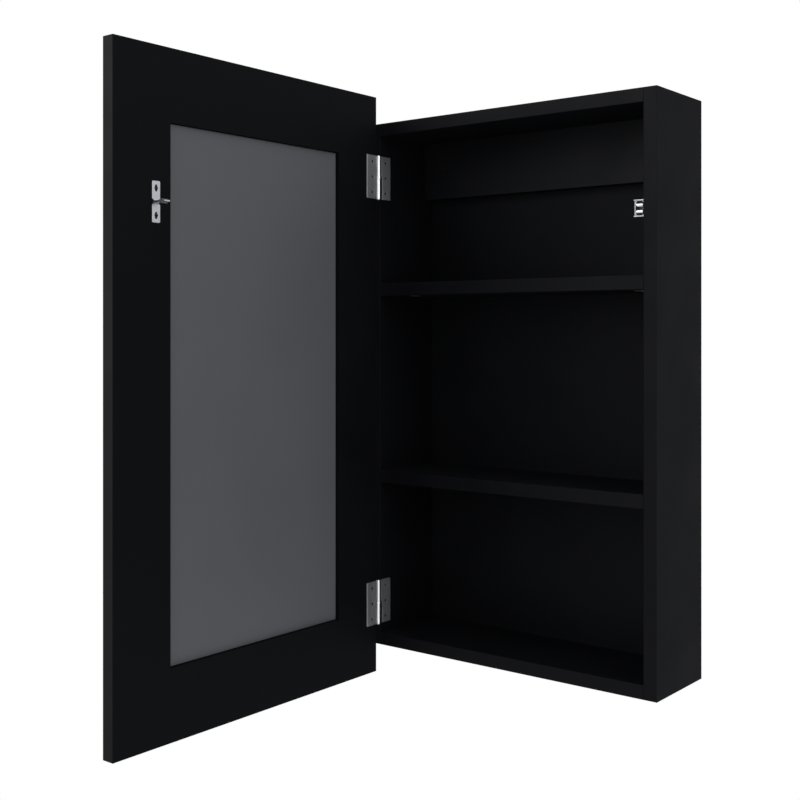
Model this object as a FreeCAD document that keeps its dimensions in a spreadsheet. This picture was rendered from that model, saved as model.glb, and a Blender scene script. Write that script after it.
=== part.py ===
"""Wall-hung medicine cabinet of laminated board with a mirrored door on two butt hinges.

Frame: +X to the right, +Y into the wall, +Z up, in millimetres. The origin lies on the wall face,
midway between the two wall screws. The door stands open at a right angle.
"""
import FreeCAD, Part

import os
import re

import Sketcher

SIZES = {
    # Carcass boards
    "carcass_width": 380.0,
    "carcass_height": 630.0,
    "carcass_depth": 108.0,
    "board": 15.0,
    "band": 0.6,
    "back_thickness": 3.0,
    "back_rebate": 8.0,
    "back_clearance": 0.5,
    "lower_share": 0.3175,
    "middle_share": 0.3702,
    # Hanging rail and its wall screw holes
    "rail_height": 70.0,
    "rail_thickness": 15.0,
    "rail_dowel_pitch": 36.0,
    "wall_screw_from_side": 50.0,
    "wall_hole": 5.5,
    # Board fittings: cam bolts, cam nuts, dowels and nails
    "fit_gap": 0.1,
    "cam_from_wall": 68.0,
    "cam_from_end": 24.0,
    "cam_diameter": 14.6,
    "cam_height": 11.6,
    "cam_slot_width": 2.0,
    "cam_slot_length": 9.0,
    "cam_slot_depth": 2.5,
    "bolt_shank": 5.0,
    "bolt_head": 6.4,
    "bolt_head_room": 0.4,
    "bolt_head_length": 3.0,
    "bolt_thread": 5.6,
    "bolt_thread_length": 10.0,
    "dowel_from_wall": 32.0,
    "dowel_diameter": 8.0,
    "dowel_in_side": 10.5,
    "dowel_in_board": 17.5,
    "nail_diameter": 1.4,
    "nail_length": 14.0,
    "nail_head": 3.4,
    "nail_head_thickness": 0.8,
    "nail_inset": 4.0,
    "nail_from_corner": 40.0,
    # Door and mirror
    "door_board": 15.0,
    "door_reach": 31.1,
    "door_overhang": 31.0,
    "hinge_stile": 68.0,
    "frame_end": 74.5,
    "mirror_thickness": 4.0,
    "mirror_overlap": 8.0,
    "mirror_gap": 0.5,
    "mirror_setback": 2.0,
    "tape_thickness": 0.8,
    "tape_width": 6.0,
    "tape_inset": 1.0,
    "backing_thickness": 4.0,
    # Butt hinges
    "hinge_height": 52.0,
    "hinge_gap": 7.0,
    "hinge_from_top": 65.5,
    "hinge_from_bottom": 52.0,
    "leaf_width": 22.0,
    "leaf_thickness": 1.2,
    "leaf_screw_reach": 12.5,
    "leaf_screw_pitch": 18.5,
    "knuckle": 5.0,
    "knuckle_gap": 0.4,
    "hinge_pin": 2.6,
    "pin_head": 4.2,
    "pin_head_thickness": 0.7,
    "running_gap": 0.05,
    # Countersunk wood screws
    "screw_head": 5.4,
    "screw_shank": 2.8,
    "screw_length": 12.0,
    "screw_tip": 3.0,
    "screw_slot_width": 0.7,
    "screw_slot_length": 3.2,
    "screw_slot_depth": 0.9,
    # Roller catch
    "catch_from_top": 124.0,
    "catch_width": 11.4,
    "catch_height": 17.6,
    "catch_wall": 0.8,
    "catch_setback": 1.0,
    "cheek_setback": 2.3,
    "catch_flange": 16.0,
    "catch_flange_height": 16.0,
    "catch_screw_pitch": 8.4,
    "roller_setback": 4.5,
    "roller_diameter": 4.2,
    "roller_side_room": 0.9,
    "nip_gap": 0.4,
    "travel_room": 0.2,
    "roller_pin": 1.4,
    "roller_pin_end_gap": 0.2,
    "spring_strip": 0.3,
    "spring_width": 2.2,
    "spring_side_gap": 0.3,
    "spring_bend_room": 0.7,
    "spring_crown": 5.2,
    "spring_contact_gap": 0.1,
    # Striker with its spear
    "strike_width": 10.0,
    "strike_height": 41.0,
    "strike_thickness": 1.2,
    "strike_fold": 2.6,
    "strike_margin": 19.2,
    "strike_slot_inset": 7.0,
    "strike_slot_length": 7.0,
    "spear_width": 7.0,
    "spear_neck": 2.0,
    "spear_bulb": 5.0,
    "spear_bulb_past": 3.7,
    "spear_bulb_slope": 2.2,
    "spear_tip_length": 5.2,
    "spear_tip_room": 1.0,
    "spear_tip": 1.2,
}

SIDE_NAIL_COUNT = 5
END_NAIL_COUNT = 3
LEAF_SCREW_COUNT = 3

# Named places, as expressions of the sizes
LEFT = "(-carcass_width / 2)"
RIGHT = "(carcass_width / 2)"
INNER_LEFT = "(board - carcass_width / 2)"
INNER_RIGHT = "(carcass_width / 2 - board)"
FRONT = "(-carcass_depth)"
TOP = "(board + rail_height / 2)"
BOTTOM = f"({TOP} - carcass_height)"
UPPER_FACE = f"({TOP} - board)"
LOWER_FACE = f"({BOTTOM} + board)"
CLEAR_HEIGHT = "(carcass_height - 4 * board)"
LOWER_SHELF = f"({LOWER_FACE} + lower_share * {CLEAR_HEIGHT})"
UPPER_SHELF = f"({LOWER_SHELF} + board + middle_share * {CLEAR_HEIGHT})"
CORE_FRONT = f"({FRONT} + band)"
SHUT_GAP = "(leaf_thickness / 2 + hinge_gap / 2)"
DOOR_WIDTH = f"({RIGHT} + door_reach - {INNER_LEFT} - {SHUT_GAP})"
DOOR_EDGE = f"({FRONT} - hinge_gap)"
DOOR_FREE = f"({DOOR_EDGE} - {DOOR_WIDTH})"
DOOR_FACE = f"({INNER_LEFT} - door_board)"
DOOR_TOP = f"({TOP} + door_overhang)"
DOOR_BOTTOM = f"({BOTTOM} - door_overhang)"
AXIS_X = f"({INNER_LEFT} + leaf_thickness / 2)"
AXIS_Y = f"({FRONT} - hinge_gap / 2)"
CATCH_X = f"({INNER_RIGHT} - catch_width / 2)"
CATCH_Z = f"({TOP} - catch_from_top)"
SPEAR_END = "(roller_setback + spear_bulb_past + spear_tip_length)"
CATCH_DEPTH = f"({SPEAR_END} + spear_tip_room + catch_wall - catch_setback)"
ROLLER_Y = f"({FRONT} + roller_setback)"
ROLLER_LENGTH = "(catch_width - 2 * catch_wall - 2 * roller_side_room)"
ROLLER_PITCH = "(roller_diameter + spear_neck + 2 * nip_gap)"
ROLLER_TRAVEL = "((spear_bulb - spear_neck) / 2 - nip_gap + travel_room)"
STRIKE_Y = f"({DOOR_EDGE} - ({CATCH_X} - {INNER_LEFT} - {SHUT_GAP}))"
HINGE_LEVELS = {
    "upper": f"({TOP} - hinge_from_top)",
    "lower": f"({BOTTOM} + hinge_from_bottom)",
}

doc = FreeCAD.newDocument("MedicineCabinet")
sheet = doc.addObject("Spreadsheet::Sheet", "Sizes")
sub_parts = []


def fill_sheet():
    """One row for each driving size: its name, and its number in an aliased cell."""
    for row, (alias, value) in enumerate(SIZES.items(), start=1):
        sheet.set(f"A{row}", alias)
        sheet.set(f"B{row}", str(value))
        sheet.setAlias(f"B{row}", alias)
    doc.recompute()


def bound(text):
    """The same expression with each size read from the sheet."""
    return re.sub(r"[a-z][a-z_]*", lambda word: f"Sizes.{word.group()}", str(text))


def bind(item, prop, text):
    item.setExpression(prop, bound(text))


def bind_place(item, prop, place):
    for axis, text in zip("xyz", place):
        bind(item, f"{prop}.Base.{axis}", text)


def sub_part(item, label):
    """Mark a finished object as a sub-part, whose label names its file."""
    item.Label = label
    sub_parts.append(item)
    return item


# Shapes that the pieces are built from

TURNS = {
    "+x": FreeCAD.Rotation(FreeCAD.Vector(0, 1, 0), 90),
    "-x": FreeCAD.Rotation(FreeCAD.Vector(0, 1, 0), -90),
    "-y": FreeCAD.Rotation(FreeCAD.Vector(1, 0, 0), 90),
    "+z": FreeCAD.Rotation(),
    "-z": FreeCAD.Rotation(FreeCAD.Vector(1, 0, 0), 180),
}


def block(name, low, size):
    """A box from its lowest corner and its size along X, Y and Z."""
    item = doc.addObject("Part::Box", name)
    for prop, text in zip(("Length", "Width", "Height"), size):
        bind(item, prop, text)
    bind_place(item, "Placement", low)
    return item


def span(name, low, high):
    """A box between two corners."""
    return block(name, low, [f"{b} - {a}" for a, b in zip(low, high)])


def rod(name, start, way, diameter, length):
    """A cylinder from the centre of its first end, along one of the axes."""
    item = doc.addObject("Part::Cylinder", name)
    bind(item, "Radius", f"({diameter}) / 2")
    bind(item, "Height", length)
    item.Placement = FreeCAD.Placement(FreeCAD.Vector(), TURNS[way])
    bind_place(item, "Placement", start)
    return item


def cone(name, start, way, first, second, length):
    """A cone between two diameters, from the centre of its first end."""
    item = doc.addObject("Part::Cone", name)
    bind(item, "Radius1", f"({first}) / 2")
    bind(item, "Radius2", f"({second}) / 2")
    bind(item, "Height", length)
    item.Placement = FreeCAD.Placement(FreeCAD.Vector(), TURNS[way])
    bind_place(item, "Placement", start)
    return item


def joined(name, items):
    item = doc.addObject("Part::MultiFuse", name)
    item.Shapes = items
    return item


def group(name, items):
    item = doc.addObject("Part::Compound", name)
    item.Links = items
    return item


def cut(name, base, tools):
    item = doc.addObject("Part::Cut", name)
    item.Base = base
    item.Tool = tools[0] if len(tools) == 1 else group(name + "Tools", tools)
    return item


def copies(name, master, places, way):
    """The same piece at several places, its own +Z turned to one of the axes."""
    items = []
    for count, place in enumerate(places, start=1):
        item = doc.addObject("App::Link", f"{name}{count}")
        item.LinkedObject = master
        item.LinkPlacement = FreeCAD.Placement(FreeCAD.Vector(), TURNS[way])
        bind_place(item, "LinkPlacement", place)
        items.append(item)
    return items


def outline(body, name, role, points):
    """A closed sketch on one of the body's origin planes, with every corner driven from the sheet."""
    sketch = body.newObject("Sketcher::SketchObject", name)
    plane = next(item for item in body.Origin.OriginFeatures if item.Role == role)
    sketch.AttachmentSupport = [(plane, "")]
    sketch.MapMode = "FlatFace"
    corners = [FreeCAD.Vector(*(float(sheet.evalExpression(bound(text))) for text in point))
               for point in points]
    for start, end in zip(corners, corners[1:] + corners[:1]):
        sketch.addGeometry(Part.LineSegment(start, end))
    for side in range(len(corners)):
        following = (side + 1) % len(corners)
        sketch.addConstraint(Sketcher.Constraint("Coincident", side, 2, following, 1))
    for side, (corner, point) in enumerate(zip(corners, points)):
        for axis, value, text in zip("XY", corner, point):
            rule = Sketcher.Constraint(f"Distance{axis}", -1, 1, side, 1, value)
            bind(sketch, f"Constraints[{sketch.addConstraint(rule)}]", text)
    return sketch


def padded(name, place, role, points, thickness, midplane=False):
    """A body padded from an outline, at its place."""
    body = doc.addObject("PartDesign::Body", name)
    bind_place(body, "Placement", place)
    pad = body.newObject("PartDesign::Pad", name + "Pad")
    sketch = outline(body, name + "Outline", role, points)
    pad.Profile = sketch
    pad.Midplane = midplane
    bind(pad, "Length", thickness)
    body.Tip = pad
    return body


# Places of the fittings

def evenly(low, high, count):
    return [f"({low} + ({high} - {low}) * {step} / {count - 1})" for step in range(count)]


LEVELS = {
    "top_panel": UPPER_FACE,
    "upper_shelf": UPPER_SHELF,
    "lower_shelf": LOWER_SHELF,
    "bottom_panel": BOTTOM,
}
CAM_Y = "(-cam_from_wall)"
DOWEL_Y = "(-dowel_from_wall)"
RAIL_Y = "(-back_thickness - rail_thickness / 2)"
RAIL_DOWEL_LEVELS = ["(rail_dowel_pitch / 2)", "(-rail_dowel_pitch / 2)"]


def middle(level):
    return f"({level} + board / 2)"


def dowel_places(face):
    """Where the dowels cross one side panel's inner face."""
    boards = [(face, DOWEL_Y, middle(level)) for level in LEVELS.values()]
    return boards + [(face, RAIL_Y, level) for level in RAIL_DOWEL_LEVELS]


def bolt_places(face):
    """Where the cam bolts cross one side panel's inner face."""
    return [(face, CAM_Y, middle(level)) for level in LEVELS.values()]


NAIL_LEFT = f"({INNER_LEFT} - back_rebate + nail_inset)"
NAIL_RIGHT = f"({INNER_RIGHT} + back_rebate - nail_inset)"
NAIL_TOP = f"({UPPER_FACE} + back_rebate - nail_inset)"
NAIL_BOTTOM = f"({LOWER_FACE} - back_rebate + nail_inset)"
SIDE_NAIL_LEVELS = evenly(f"({BOTTOM} + nail_from_corner)", "0", SIDE_NAIL_COUNT)
END_NAIL_PLACES = evenly(f"({LEFT} + nail_from_corner)", f"({RIGHT} - nail_from_corner)", END_NAIL_COUNT)
NAILS = {
    "left": [(NAIL_LEFT, "0", level) for level in SIDE_NAIL_LEVELS],
    "right": [(NAIL_RIGHT, "0", level) for level in SIDE_NAIL_LEVELS],
    "top": [(place, "0", NAIL_TOP) for place in END_NAIL_PLACES],
    "bottom": [(place, "0", NAIL_BOTTOM) for place in END_NAIL_PLACES],
}
WALL_SCREWS = [
    (f"({RIGHT} - wall_screw_from_side)", "0", "0"),
    (f"({LEFT} + wall_screw_from_side)", "0", "0"),
]


def leaf_screws(face, side):
    """Screw places on both hinge leaves of one side: +1 the cabinet's, -1 the door's."""
    reach = f"({AXIS_Y} + {side} * leaf_screw_reach)"
    steps = [step - (LEAF_SCREW_COUNT - 1) / 2 for step in range(LEAF_SCREW_COUNT)]
    return [(face, reach, f"({level} + {step} * leaf_screw_pitch)")
            for level in HINGE_LEVELS.values() for step in steps]


CATCH_FLANGE_Y = f"({FRONT} + catch_setback + {CATCH_DEPTH})"
CATCH_SCREW_Y = f"({CATCH_FLANGE_Y} + catch_flange / 2)"
CATCH_SCREWS = [(f"({INNER_RIGHT} - catch_wall)", CATCH_SCREW_Y,
                 f"({CATCH_Z} + {side} * catch_screw_pitch / 2)") for side in (1, -1)]
STRIKE_REACH = "(strike_height / 2 - strike_slot_inset)"
STRIKE_SCREWS = [(f"({INNER_LEFT} + strike_thickness)", STRIKE_Y, f"({CATCH_Z} + {side} * {STRIKE_REACH})")
                 for side in (1, -1)]
LEAF_OUTER = f"({INNER_LEFT} + leaf_thickness)"


# Fittings that are used many times, made once at the origin and copied to their places

def wood_screw():
    """Countersunk screw: its head's face at the origin, its point along +Z."""
    sink = "((screw_head - screw_shank) / 2)"
    shank = f"(screw_length - {sink} - screw_tip)"
    tip = ("0", "0", f"{sink} + {shank}")
    zero = ("0", "0", "0")
    solid = joined("ScrewBlank", [
        cone("ScrewHead", zero, "+z", "screw_head", "screw_shank", sink),
        rod("ScrewShank", ("0", "0", sink), "+z", "screw_shank", shank),
        cone("ScrewPoint", tip, "+z", "screw_shank", "screw_shank / 4", "screw_tip"),
    ])
    half = "(-screw_slot_length / 2)"
    thin = "(-screw_slot_width / 2)"
    cross = joined("ScrewCross", [
        block("ScrewCrossA", (half, thin, "0"),
              ("screw_slot_length", "screw_slot_width", "screw_slot_depth")),
        block("ScrewCrossB", (thin, half, "0"),
              ("screw_slot_width", "screw_slot_length", "screw_slot_depth")),
    ])
    return cut("Screw", solid, [cross])


def screw_seat():
    """What a countersunk screw leaves in a plate and the board behind it."""
    sink = "((screw_head - screw_shank) / 2)"
    zero = ("0", "0", "0")
    wide = "(screw_shank + 2 * running_gap)"
    return joined("ScrewSeat", [
        cone("SeatSink", zero, "+z", "screw_head + 2 * running_gap", wide, sink),
        rod("SeatHole", zero, "+z", wide, "screw_length + fit_gap"),
    ])


def nail():
    """Flat-headed nail: its head's face at the origin, its point along +Z."""
    return joined("Nail", [
        rod("NailHead", ("0", "0", "0"), "+z", "nail_head", "nail_head_thickness"),
        rod("NailShank", ("0", "0", "0"), "+z", "nail_diameter", "nail_length"),
    ])


def nail_seat():
    return joined("NailSeat", [
        rod("NailSink", ("0", "0", "0"), "+z", "nail_head + 2 * running_gap", "nail_head_thickness"),
        rod("NailHole", ("0", "0", "0"), "+z", "nail_diameter + 2 * running_gap", "nail_length + fit_gap"),
    ])


def dowel():
    """Wooden dowel: +Z runs into the board's end, -Z into the side panel."""
    length = "dowel_in_side + dowel_in_board"
    return rod("Dowel", ("0", "0", "-dowel_in_side"), "+z", "dowel_diameter", length)


def dowel_hole():
    length = "dowel_in_side + dowel_in_board + 2 * fit_gap"
    return rod("DowelHole", ("0", "0", "-dowel_in_side - fit_gap"), "+z", "dowel_diameter + fit_gap", length)


def cam_bolt():
    """Cam bolt: its thread in the side panel along -Z, its head in the cam nut along +Z."""
    return joined("CamBolt", [
        rod("BoltThread", ("0", "0", "-bolt_thread_length"), "+z", "bolt_thread", "bolt_thread_length"),
        rod("BoltShank", ("0", "0", "0"), "+z", "bolt_shank", "cam_from_end"),
        rod("BoltHead", ("0", "0", "cam_from_end - bolt_head_length"), "+z", "bolt_head", "bolt_head_length"),
    ])


CAM_BORE = "(bolt_head + 2 * bolt_head_room)"


def cam_bolt_hole():
    thread = ("0", "0", "-bolt_thread_length - fit_gap")
    return joined("CamBoltHole", [
        rod("BoltThreadHole", thread, "+z", "bolt_thread + fit_gap", "bolt_thread_length + fit_gap"),
        rod("BoltShankHole", ("0", "0", "0"), "+z", CAM_BORE, "cam_from_end"),
    ])


fill_sheet()
screw = wood_screw()
seat = screw_seat()
nail_master = nail()
nail_hole = nail_seat()
dowel_master = dowel()
dowel_bore = dowel_hole()
bolt_master = cam_bolt()
bolt_bore = cam_bolt_hole()


# Carcass boards

def side_panel(label, low, inner, way, nails, fittings):
    """A side panel, full height, with the back's rebate and the holes of all that is fixed to it."""
    name = label.title().replace("_", "")
    core = block(name + "Core", (low, CORE_FRONT, BOTTOM),
                 ("board", "carcass_depth - band", "carcass_height"))
    rebate_low = f"({inner} - back_rebate)" if way == "+x" else inner
    rebate = block(name + "Rebate", (rebate_low, "-back_thickness", f"{LOWER_FACE} - back_rebate"),
                   ("back_rebate", "back_thickness", "carcass_height - 2 * board + 2 * back_rebate"))
    tools = [rebate]
    tools += copies(name + "DowelHole", dowel_bore, dowel_places(inner), way)
    tools += copies(name + "BoltHole", bolt_bore, bolt_places(inner), way)
    tools += copies(name + "NailHole", nail_hole, nails, "-y")
    tools += fittings
    return sub_part(cut(name, core, tools), label)


def cross_board(label, level, depth_end, rebate_level, nails, cam_way):
    """A board between the sides, with its dowel holes, cam bores and, at the ends, the back's rebate."""
    name = label.title().replace("_", "")
    core = span(name + "Core", (INNER_LEFT, CORE_FRONT, level),
                (INNER_RIGHT, depth_end, f"({level} + board)"))
    tools = []
    if rebate_level:
        tools.append(block(name + "Rebate", (INNER_LEFT, "-back_thickness", rebate_level),
                           ("carcass_width - 2 * board", "back_thickness", "back_rebate")))
        tools += copies(name + "NailHole", nail_hole, nails, "-y")
    for face, way, sign in ((INNER_LEFT, "+x", "+"), (INNER_RIGHT, "-x", "-")):
        end = "Left" if way == "+x" else "Right"
        cam = (f"({face} {sign} cam_from_end)", CAM_Y, cam_start(level, cam_way))
        tools += copies(f"{name}{end}Dowel", dowel_bore, [(face, DOWEL_Y, middle(level))], way)
        bore = joined(f"{name}{end}CamBore", [
            *copies(f"{name}{end}Bolt", bolt_bore, [(face, CAM_Y, middle(level))], way),
            rod(f"{name}{end}CamHole", cam, cam_way, "cam_diameter + 2 * fit_gap", "cam_height + fit_gap"),
        ])
        tools.append(bore)
    return sub_part(cut(name, core, tools), label)


def cam_start(level, cam_way):
    """The face of a board that its cam nuts are let into."""
    return level if cam_way == "+z" else f"({level} + board)"


def carcass():
    hinge_seats = copies("FrameHingeSeat", seat, leaf_screws(LEAF_OUTER, 1), "-x")
    catch_seats = copies("CatchSeat", seat, CATCH_SCREWS, "+x")
    side_panel("left_side_panel", LEFT, INNER_LEFT, "+x", NAILS["left"], hinge_seats)
    side_panel("right_side_panel", INNER_RIGHT, INNER_RIGHT, "-x", NAILS["right"], catch_seats)
    cross_board("top_panel", UPPER_FACE, "0", UPPER_FACE, NAILS["top"], "-z")
    cross_board("bottom_panel", BOTTOM, "0", f"({LOWER_FACE} - back_rebate)", NAILS["bottom"], "+z")
    cross_board("upper_shelf", UPPER_SHELF, "(-back_thickness)", None, [], "+z")
    cross_board("lower_shelf", LOWER_SHELF, "(-back_thickness)", None, [], "+z")


def back_panel():
    """Thin panel let into the rebates, flush with the boards' rear edges."""
    inset = "(back_rebate - back_clearance)"
    low = (f"({INNER_LEFT} - {inset})", "(-back_thickness)", f"({LOWER_FACE} - {inset})")
    high = (f"({INNER_RIGHT} + {inset})", "0", f"({UPPER_FACE} + {inset})")
    holes = copies("BackNailHole", nail_hole, sum(NAILS.values(), []), "-y")
    holes += [rod(f"BackWallHole{count}", place, "-y", "wall_hole", "back_thickness")
              for count, place in enumerate(WALL_SCREWS)]
    sub_part(cut("BackPanel", span("BackSheet", low, high), holes), "back_panel")


def hanging_rail():
    """Rail under the top panel, against the back, which carries the cabinet on its two wall screws."""
    low = (INNER_LEFT, "(-back_thickness - rail_thickness)", f"({UPPER_FACE} - rail_height)")
    core = block("RailCore", low, ("carcass_width - 2 * board", "rail_thickness", "rail_height"))
    tools = []
    for face, way in ((INNER_LEFT, "+x"), (INNER_RIGHT, "-x")):
        end = "Left" if way == "+x" else "Right"
        places = [(face, RAIL_Y, level) for level in RAIL_DOWEL_LEVELS]
        tools += copies(f"RailDowel{end}", dowel_bore, places, way)
    for count, place in enumerate(WALL_SCREWS):
        start = (place[0], "(-back_thickness)", place[2])
        tools.append(rod(f"RailWallHole{count}", start, "-y", "wall_hole", "rail_thickness"))
    sub_part(cut("HangingRail", core, tools), "hanging_rail")


def carcass_edge_bands():
    """Thin plastic bands on the front edges of the boards."""
    bands = [
        block("LeftBand", (LEFT, FRONT, BOTTOM), ("board", "band", "carcass_height")),
        block("RightBand", (INNER_RIGHT, FRONT, BOTTOM), ("board", "band", "carcass_height")),
    ]
    for label, level in LEVELS.items():
        name = label.title().replace("_", "") + "Band"
        bands.append(block(name, (INNER_LEFT, FRONT, level), ("carcass_width - 2 * board", "band", "board")))
    sub_part(group("CarcassBands", bands), "carcass_edge_bands")


def carcass_fittings():
    """Dowels, cam bolts, cam nuts and back nails, each kind a group."""
    dowels = copies("DowelLeft", dowel_master, dowel_places(INNER_LEFT), "+x")
    dowels += copies("DowelRight", dowel_master, dowel_places(INNER_RIGHT), "-x")
    sub_part(group("Dowels", dowels), "wood_dowels")
    bolts = copies("BoltLeft", bolt_master, bolt_places(INNER_LEFT), "+x")
    bolts += copies("BoltRight", bolt_master, bolt_places(INNER_RIGHT), "-x")
    sub_part(group("CamBolts", bolts), "cam_bolts")
    nuts = []
    for label, level in LEVELS.items():
        cam_way = "-z" if label == "top_panel" else "+z"
        for face, way, sign in ((INNER_LEFT, "+x", "+"), (INNER_RIGHT, "-x", "-")):
            centre = f"({face} {sign} cam_from_end)"
            nuts.append(cam_nut(label, level, cam_way, face, way, centre))
    sub_part(group("CamNuts", nuts), "cam_nuts")
    nails = copies("BackNail", nail_master, sum(NAILS.values(), []), "-y")
    sub_part(group("BackNails", nails), "back_panel_nails")


def cam_nut(label, level, cam_way, face, way, centre):
    """Zinc cam with a cross slot in its face and a bore for the bolt's head."""
    name = label.title().replace("_", "") + ("Left" if way == "+x" else "Right") + "Cam"
    start = cam_start(level, cam_way)
    drum = rod(name + "Drum", (centre, CAM_Y, start), cam_way, "cam_diameter", "cam_height")
    bore = rod(name + "Bore", (face, CAM_Y, middle(level)), way, CAM_BORE, "cam_from_end + fit_gap")
    low = start if cam_way == "+z" else f"({start} - cam_slot_depth)"
    half = "cam_slot_length / 2"
    thin = "cam_slot_width / 2"
    slots = joined(name + "Cross", [
        block(name + "CrossA", (f"{centre} - {half}", f"{CAM_Y} - {thin}", low),
              ("cam_slot_length", "cam_slot_width", "cam_slot_depth")),
        block(name + "CrossB", (f"{centre} - {thin}", f"{CAM_Y} - {half}", low),
              ("cam_slot_width", "cam_slot_length", "cam_slot_depth")),
    ])
    return cut(name, drum, [joined(name + "Cuts", [bore, slots])])


# Door and mirror

OPENING_LOW = f"({STRIKE_Y} + strike_margin)"
OPENING_HIGH = f"({DOOR_EDGE} - hinge_stile)"
OPENING_BOTTOM = f"({DOOR_BOTTOM} + frame_end)"
OPENING_TOP = f"({DOOR_TOP} - frame_end)"
MIRROR_FACE = f"({DOOR_FACE} + mirror_setback)"
MIRROR_BACK = f"({MIRROR_FACE} + mirror_thickness)"
REBATE_FLOOR = f"({MIRROR_BACK} + tape_thickness)"


def around_opening(margin):
    """The opening's low and high corner in Y and Z, grown by a margin."""
    low = (f"({OPENING_LOW} - {margin})", f"({OPENING_BOTTOM} - {margin})")
    high = (f"({OPENING_HIGH} + {margin})", f"({OPENING_TOP} + {margin})")
    return low, high


def slab(name, first, last, margin):
    """A slab over the opening, between two X places, grown by a margin."""
    low, high = around_opening(margin)
    return span(name, (first, *low), (last, *high))


def door_panel():
    """One board with a cut-out and, at the front, a rebate for the mirror."""
    core = span("DoorCore", (DOOR_FACE, f"({DOOR_FREE} + band)", f"({DOOR_BOTTOM} + band)"),
                (INNER_LEFT, f"({DOOR_EDGE} - band)", f"({DOOR_TOP} - band)"))
    hollow = joined("DoorHollow", [
        slab("DoorOpening", DOOR_FACE, INNER_LEFT, "0"),
        slab("DoorRebate", DOOR_FACE, REBATE_FLOOR, "(mirror_overlap + mirror_gap)"),
    ])
    seats = copies("DoorHingeSeat", seat, leaf_screws(LEAF_OUTER, -1), "-x")
    seats += copies("StrikeSeat", seat, STRIKE_SCREWS, "-x")
    sub_part(cut("DoorPanel", core, [hollow] + seats), "door_panel")


def door_edge_bands():
    across = f"{DOOR_WIDTH} - 2 * band"
    tall = "carcass_height + 2 * door_overhang"
    bands = [
        block("DoorFreeBand", (DOOR_FACE, DOOR_FREE, DOOR_BOTTOM), ("door_board", "band", tall)),
        block("DoorHingeBand", (DOOR_FACE, f"{DOOR_EDGE} - band", DOOR_BOTTOM), ("door_board", "band", tall)),
        block("DoorLowBand", (DOOR_FACE, f"{DOOR_FREE} + band", DOOR_BOTTOM), ("door_board", across, "band")),
        block("DoorTopBand", (DOOR_FACE, f"{DOOR_FREE} + band", f"{DOOR_TOP} - band"),
              ("door_board", across, "band")),
    ]
    sub_part(group("DoorBands", bands), "door_edge_bands")


def mirror():
    """Silvered glass in the front rebate, stuck down on strips of tape, with a backing in the cut-out."""
    sub_part(slab("Mirror", MIRROR_FACE, MIRROR_BACK, "mirror_overlap"), "mirror")
    sub_part(slab("MirrorBacking", MIRROR_BACK, f"({MIRROR_BACK} + backing_thickness)", "(-mirror_gap)"),
             "mirror_backing")
    low, high = around_opening("(tape_inset + tape_width)")
    inner_low, inner_high = around_opening("tape_inset")
    strips = [
        span("TapeFree", (MIRROR_BACK, low[0], low[1]), (REBATE_FLOOR, inner_low[0], high[1])),
        span("TapeHinge", (MIRROR_BACK, inner_high[0], low[1]), (REBATE_FLOOR, high[0], high[1])),
        span("TapeLow", (MIRROR_BACK, inner_low[0], low[1]), (REBATE_FLOOR, inner_high[0], inner_low[1])),
        span("TapeTop", (MIRROR_BACK, inner_low[0], inner_high[1]), (REBATE_FLOOR, inner_high[0], high[1])),
    ]
    sub_part(group("MirrorTape", strips), "mirror_tape")


# Butt hinges

def hinge_leaf(label, level, side):
    """One leaf with its half of the knuckle: +1 on the cabinet, upper half; -1 on the door, lower half."""
    name = label.title().replace("_", "")
    notch = f"({side} * (knuckle / 2 + knuckle_gap))"
    edge = f"({side} * leaf_width)"
    far = f"({side} * hinge_height / 2)"
    near = f"(-{far})"
    meet = f"({side} * knuckle_gap / 2)"
    plate = padded(name + "Plate", (INNER_LEFT, AXIS_Y, level), "YZ_Plane",
                   [("0", far), (edge, far), (edge, near), (notch, near), (notch, meet), ("0", meet)],
                   "leaf_thickness")
    low = f"({level} + knuckle_gap / 2)" if side > 0 else f"({level} - hinge_height / 2)"
    barrel = rod(name + "Barrel", (AXIS_X, AXIS_Y, low), "+z", "knuckle", "(hinge_height - knuckle_gap) / 2")
    bore = rod(name + "Bore", (AXIS_X, AXIS_Y, f"{level} - hinge_height / 2"), "+z",
               "hinge_pin + 2 * running_gap", "hinge_height")
    places = [place for place in leaf_screws(LEAF_OUTER, side) if place[2].startswith(f"({level}")]
    seats = copies(name + "Seat", seat, places, "-x")
    sub_part(cut(name, joined(name + "Blank", [plate, barrel]), [bore] + seats), label)


def hinge_pin(label, level):
    """Riveted pin with a flat head at each end of the knuckle."""
    name = label.title().replace("_", "")
    foot = f"({level} - hinge_height / 2 - knuckle_gap - pin_head_thickness)"
    head = f"({level} + hinge_height / 2)"
    pieces = [
        rod(name + "Shaft", (AXIS_X, AXIS_Y, foot), "+z", "hinge_pin", f"{head} - {foot}"),
        rod(name + "Foot", (AXIS_X, AXIS_Y, foot), "+z", "pin_head", "pin_head_thickness"),
        rod(name + "Head", (AXIS_X, AXIS_Y, head), "+z", "pin_head", "pin_head_thickness"),
    ]
    sub_part(joined(name, pieces), label)


def hinges():
    for position, level in HINGE_LEVELS.items():
        hinge_leaf(f"{position}_hinge_frame_leaf", level, 1)
        hinge_leaf(f"{position}_hinge_door_leaf", level, -1)
        hinge_pin(f"{position}_hinge_pin", level)
    frame_screws = copies("FrameHingeScrew", screw, leaf_screws(LEAF_OUTER, 1), "-x")
    sub_part(group("FrameHingeScrews", frame_screws), "frame_hinge_screws")
    door_screws = copies("DoorHingeScrew", screw, leaf_screws(LEAF_OUTER, -1), "-x")
    sub_part(group("DoorHingeScrews", door_screws), "door_hinge_screws")


# Roller catch

CATCH_LEFT = f"({INNER_RIGHT} - catch_width)"


def roller_level(side):
    return f"({CATCH_Z} + {side} * {ROLLER_PITCH} / 2)"


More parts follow.
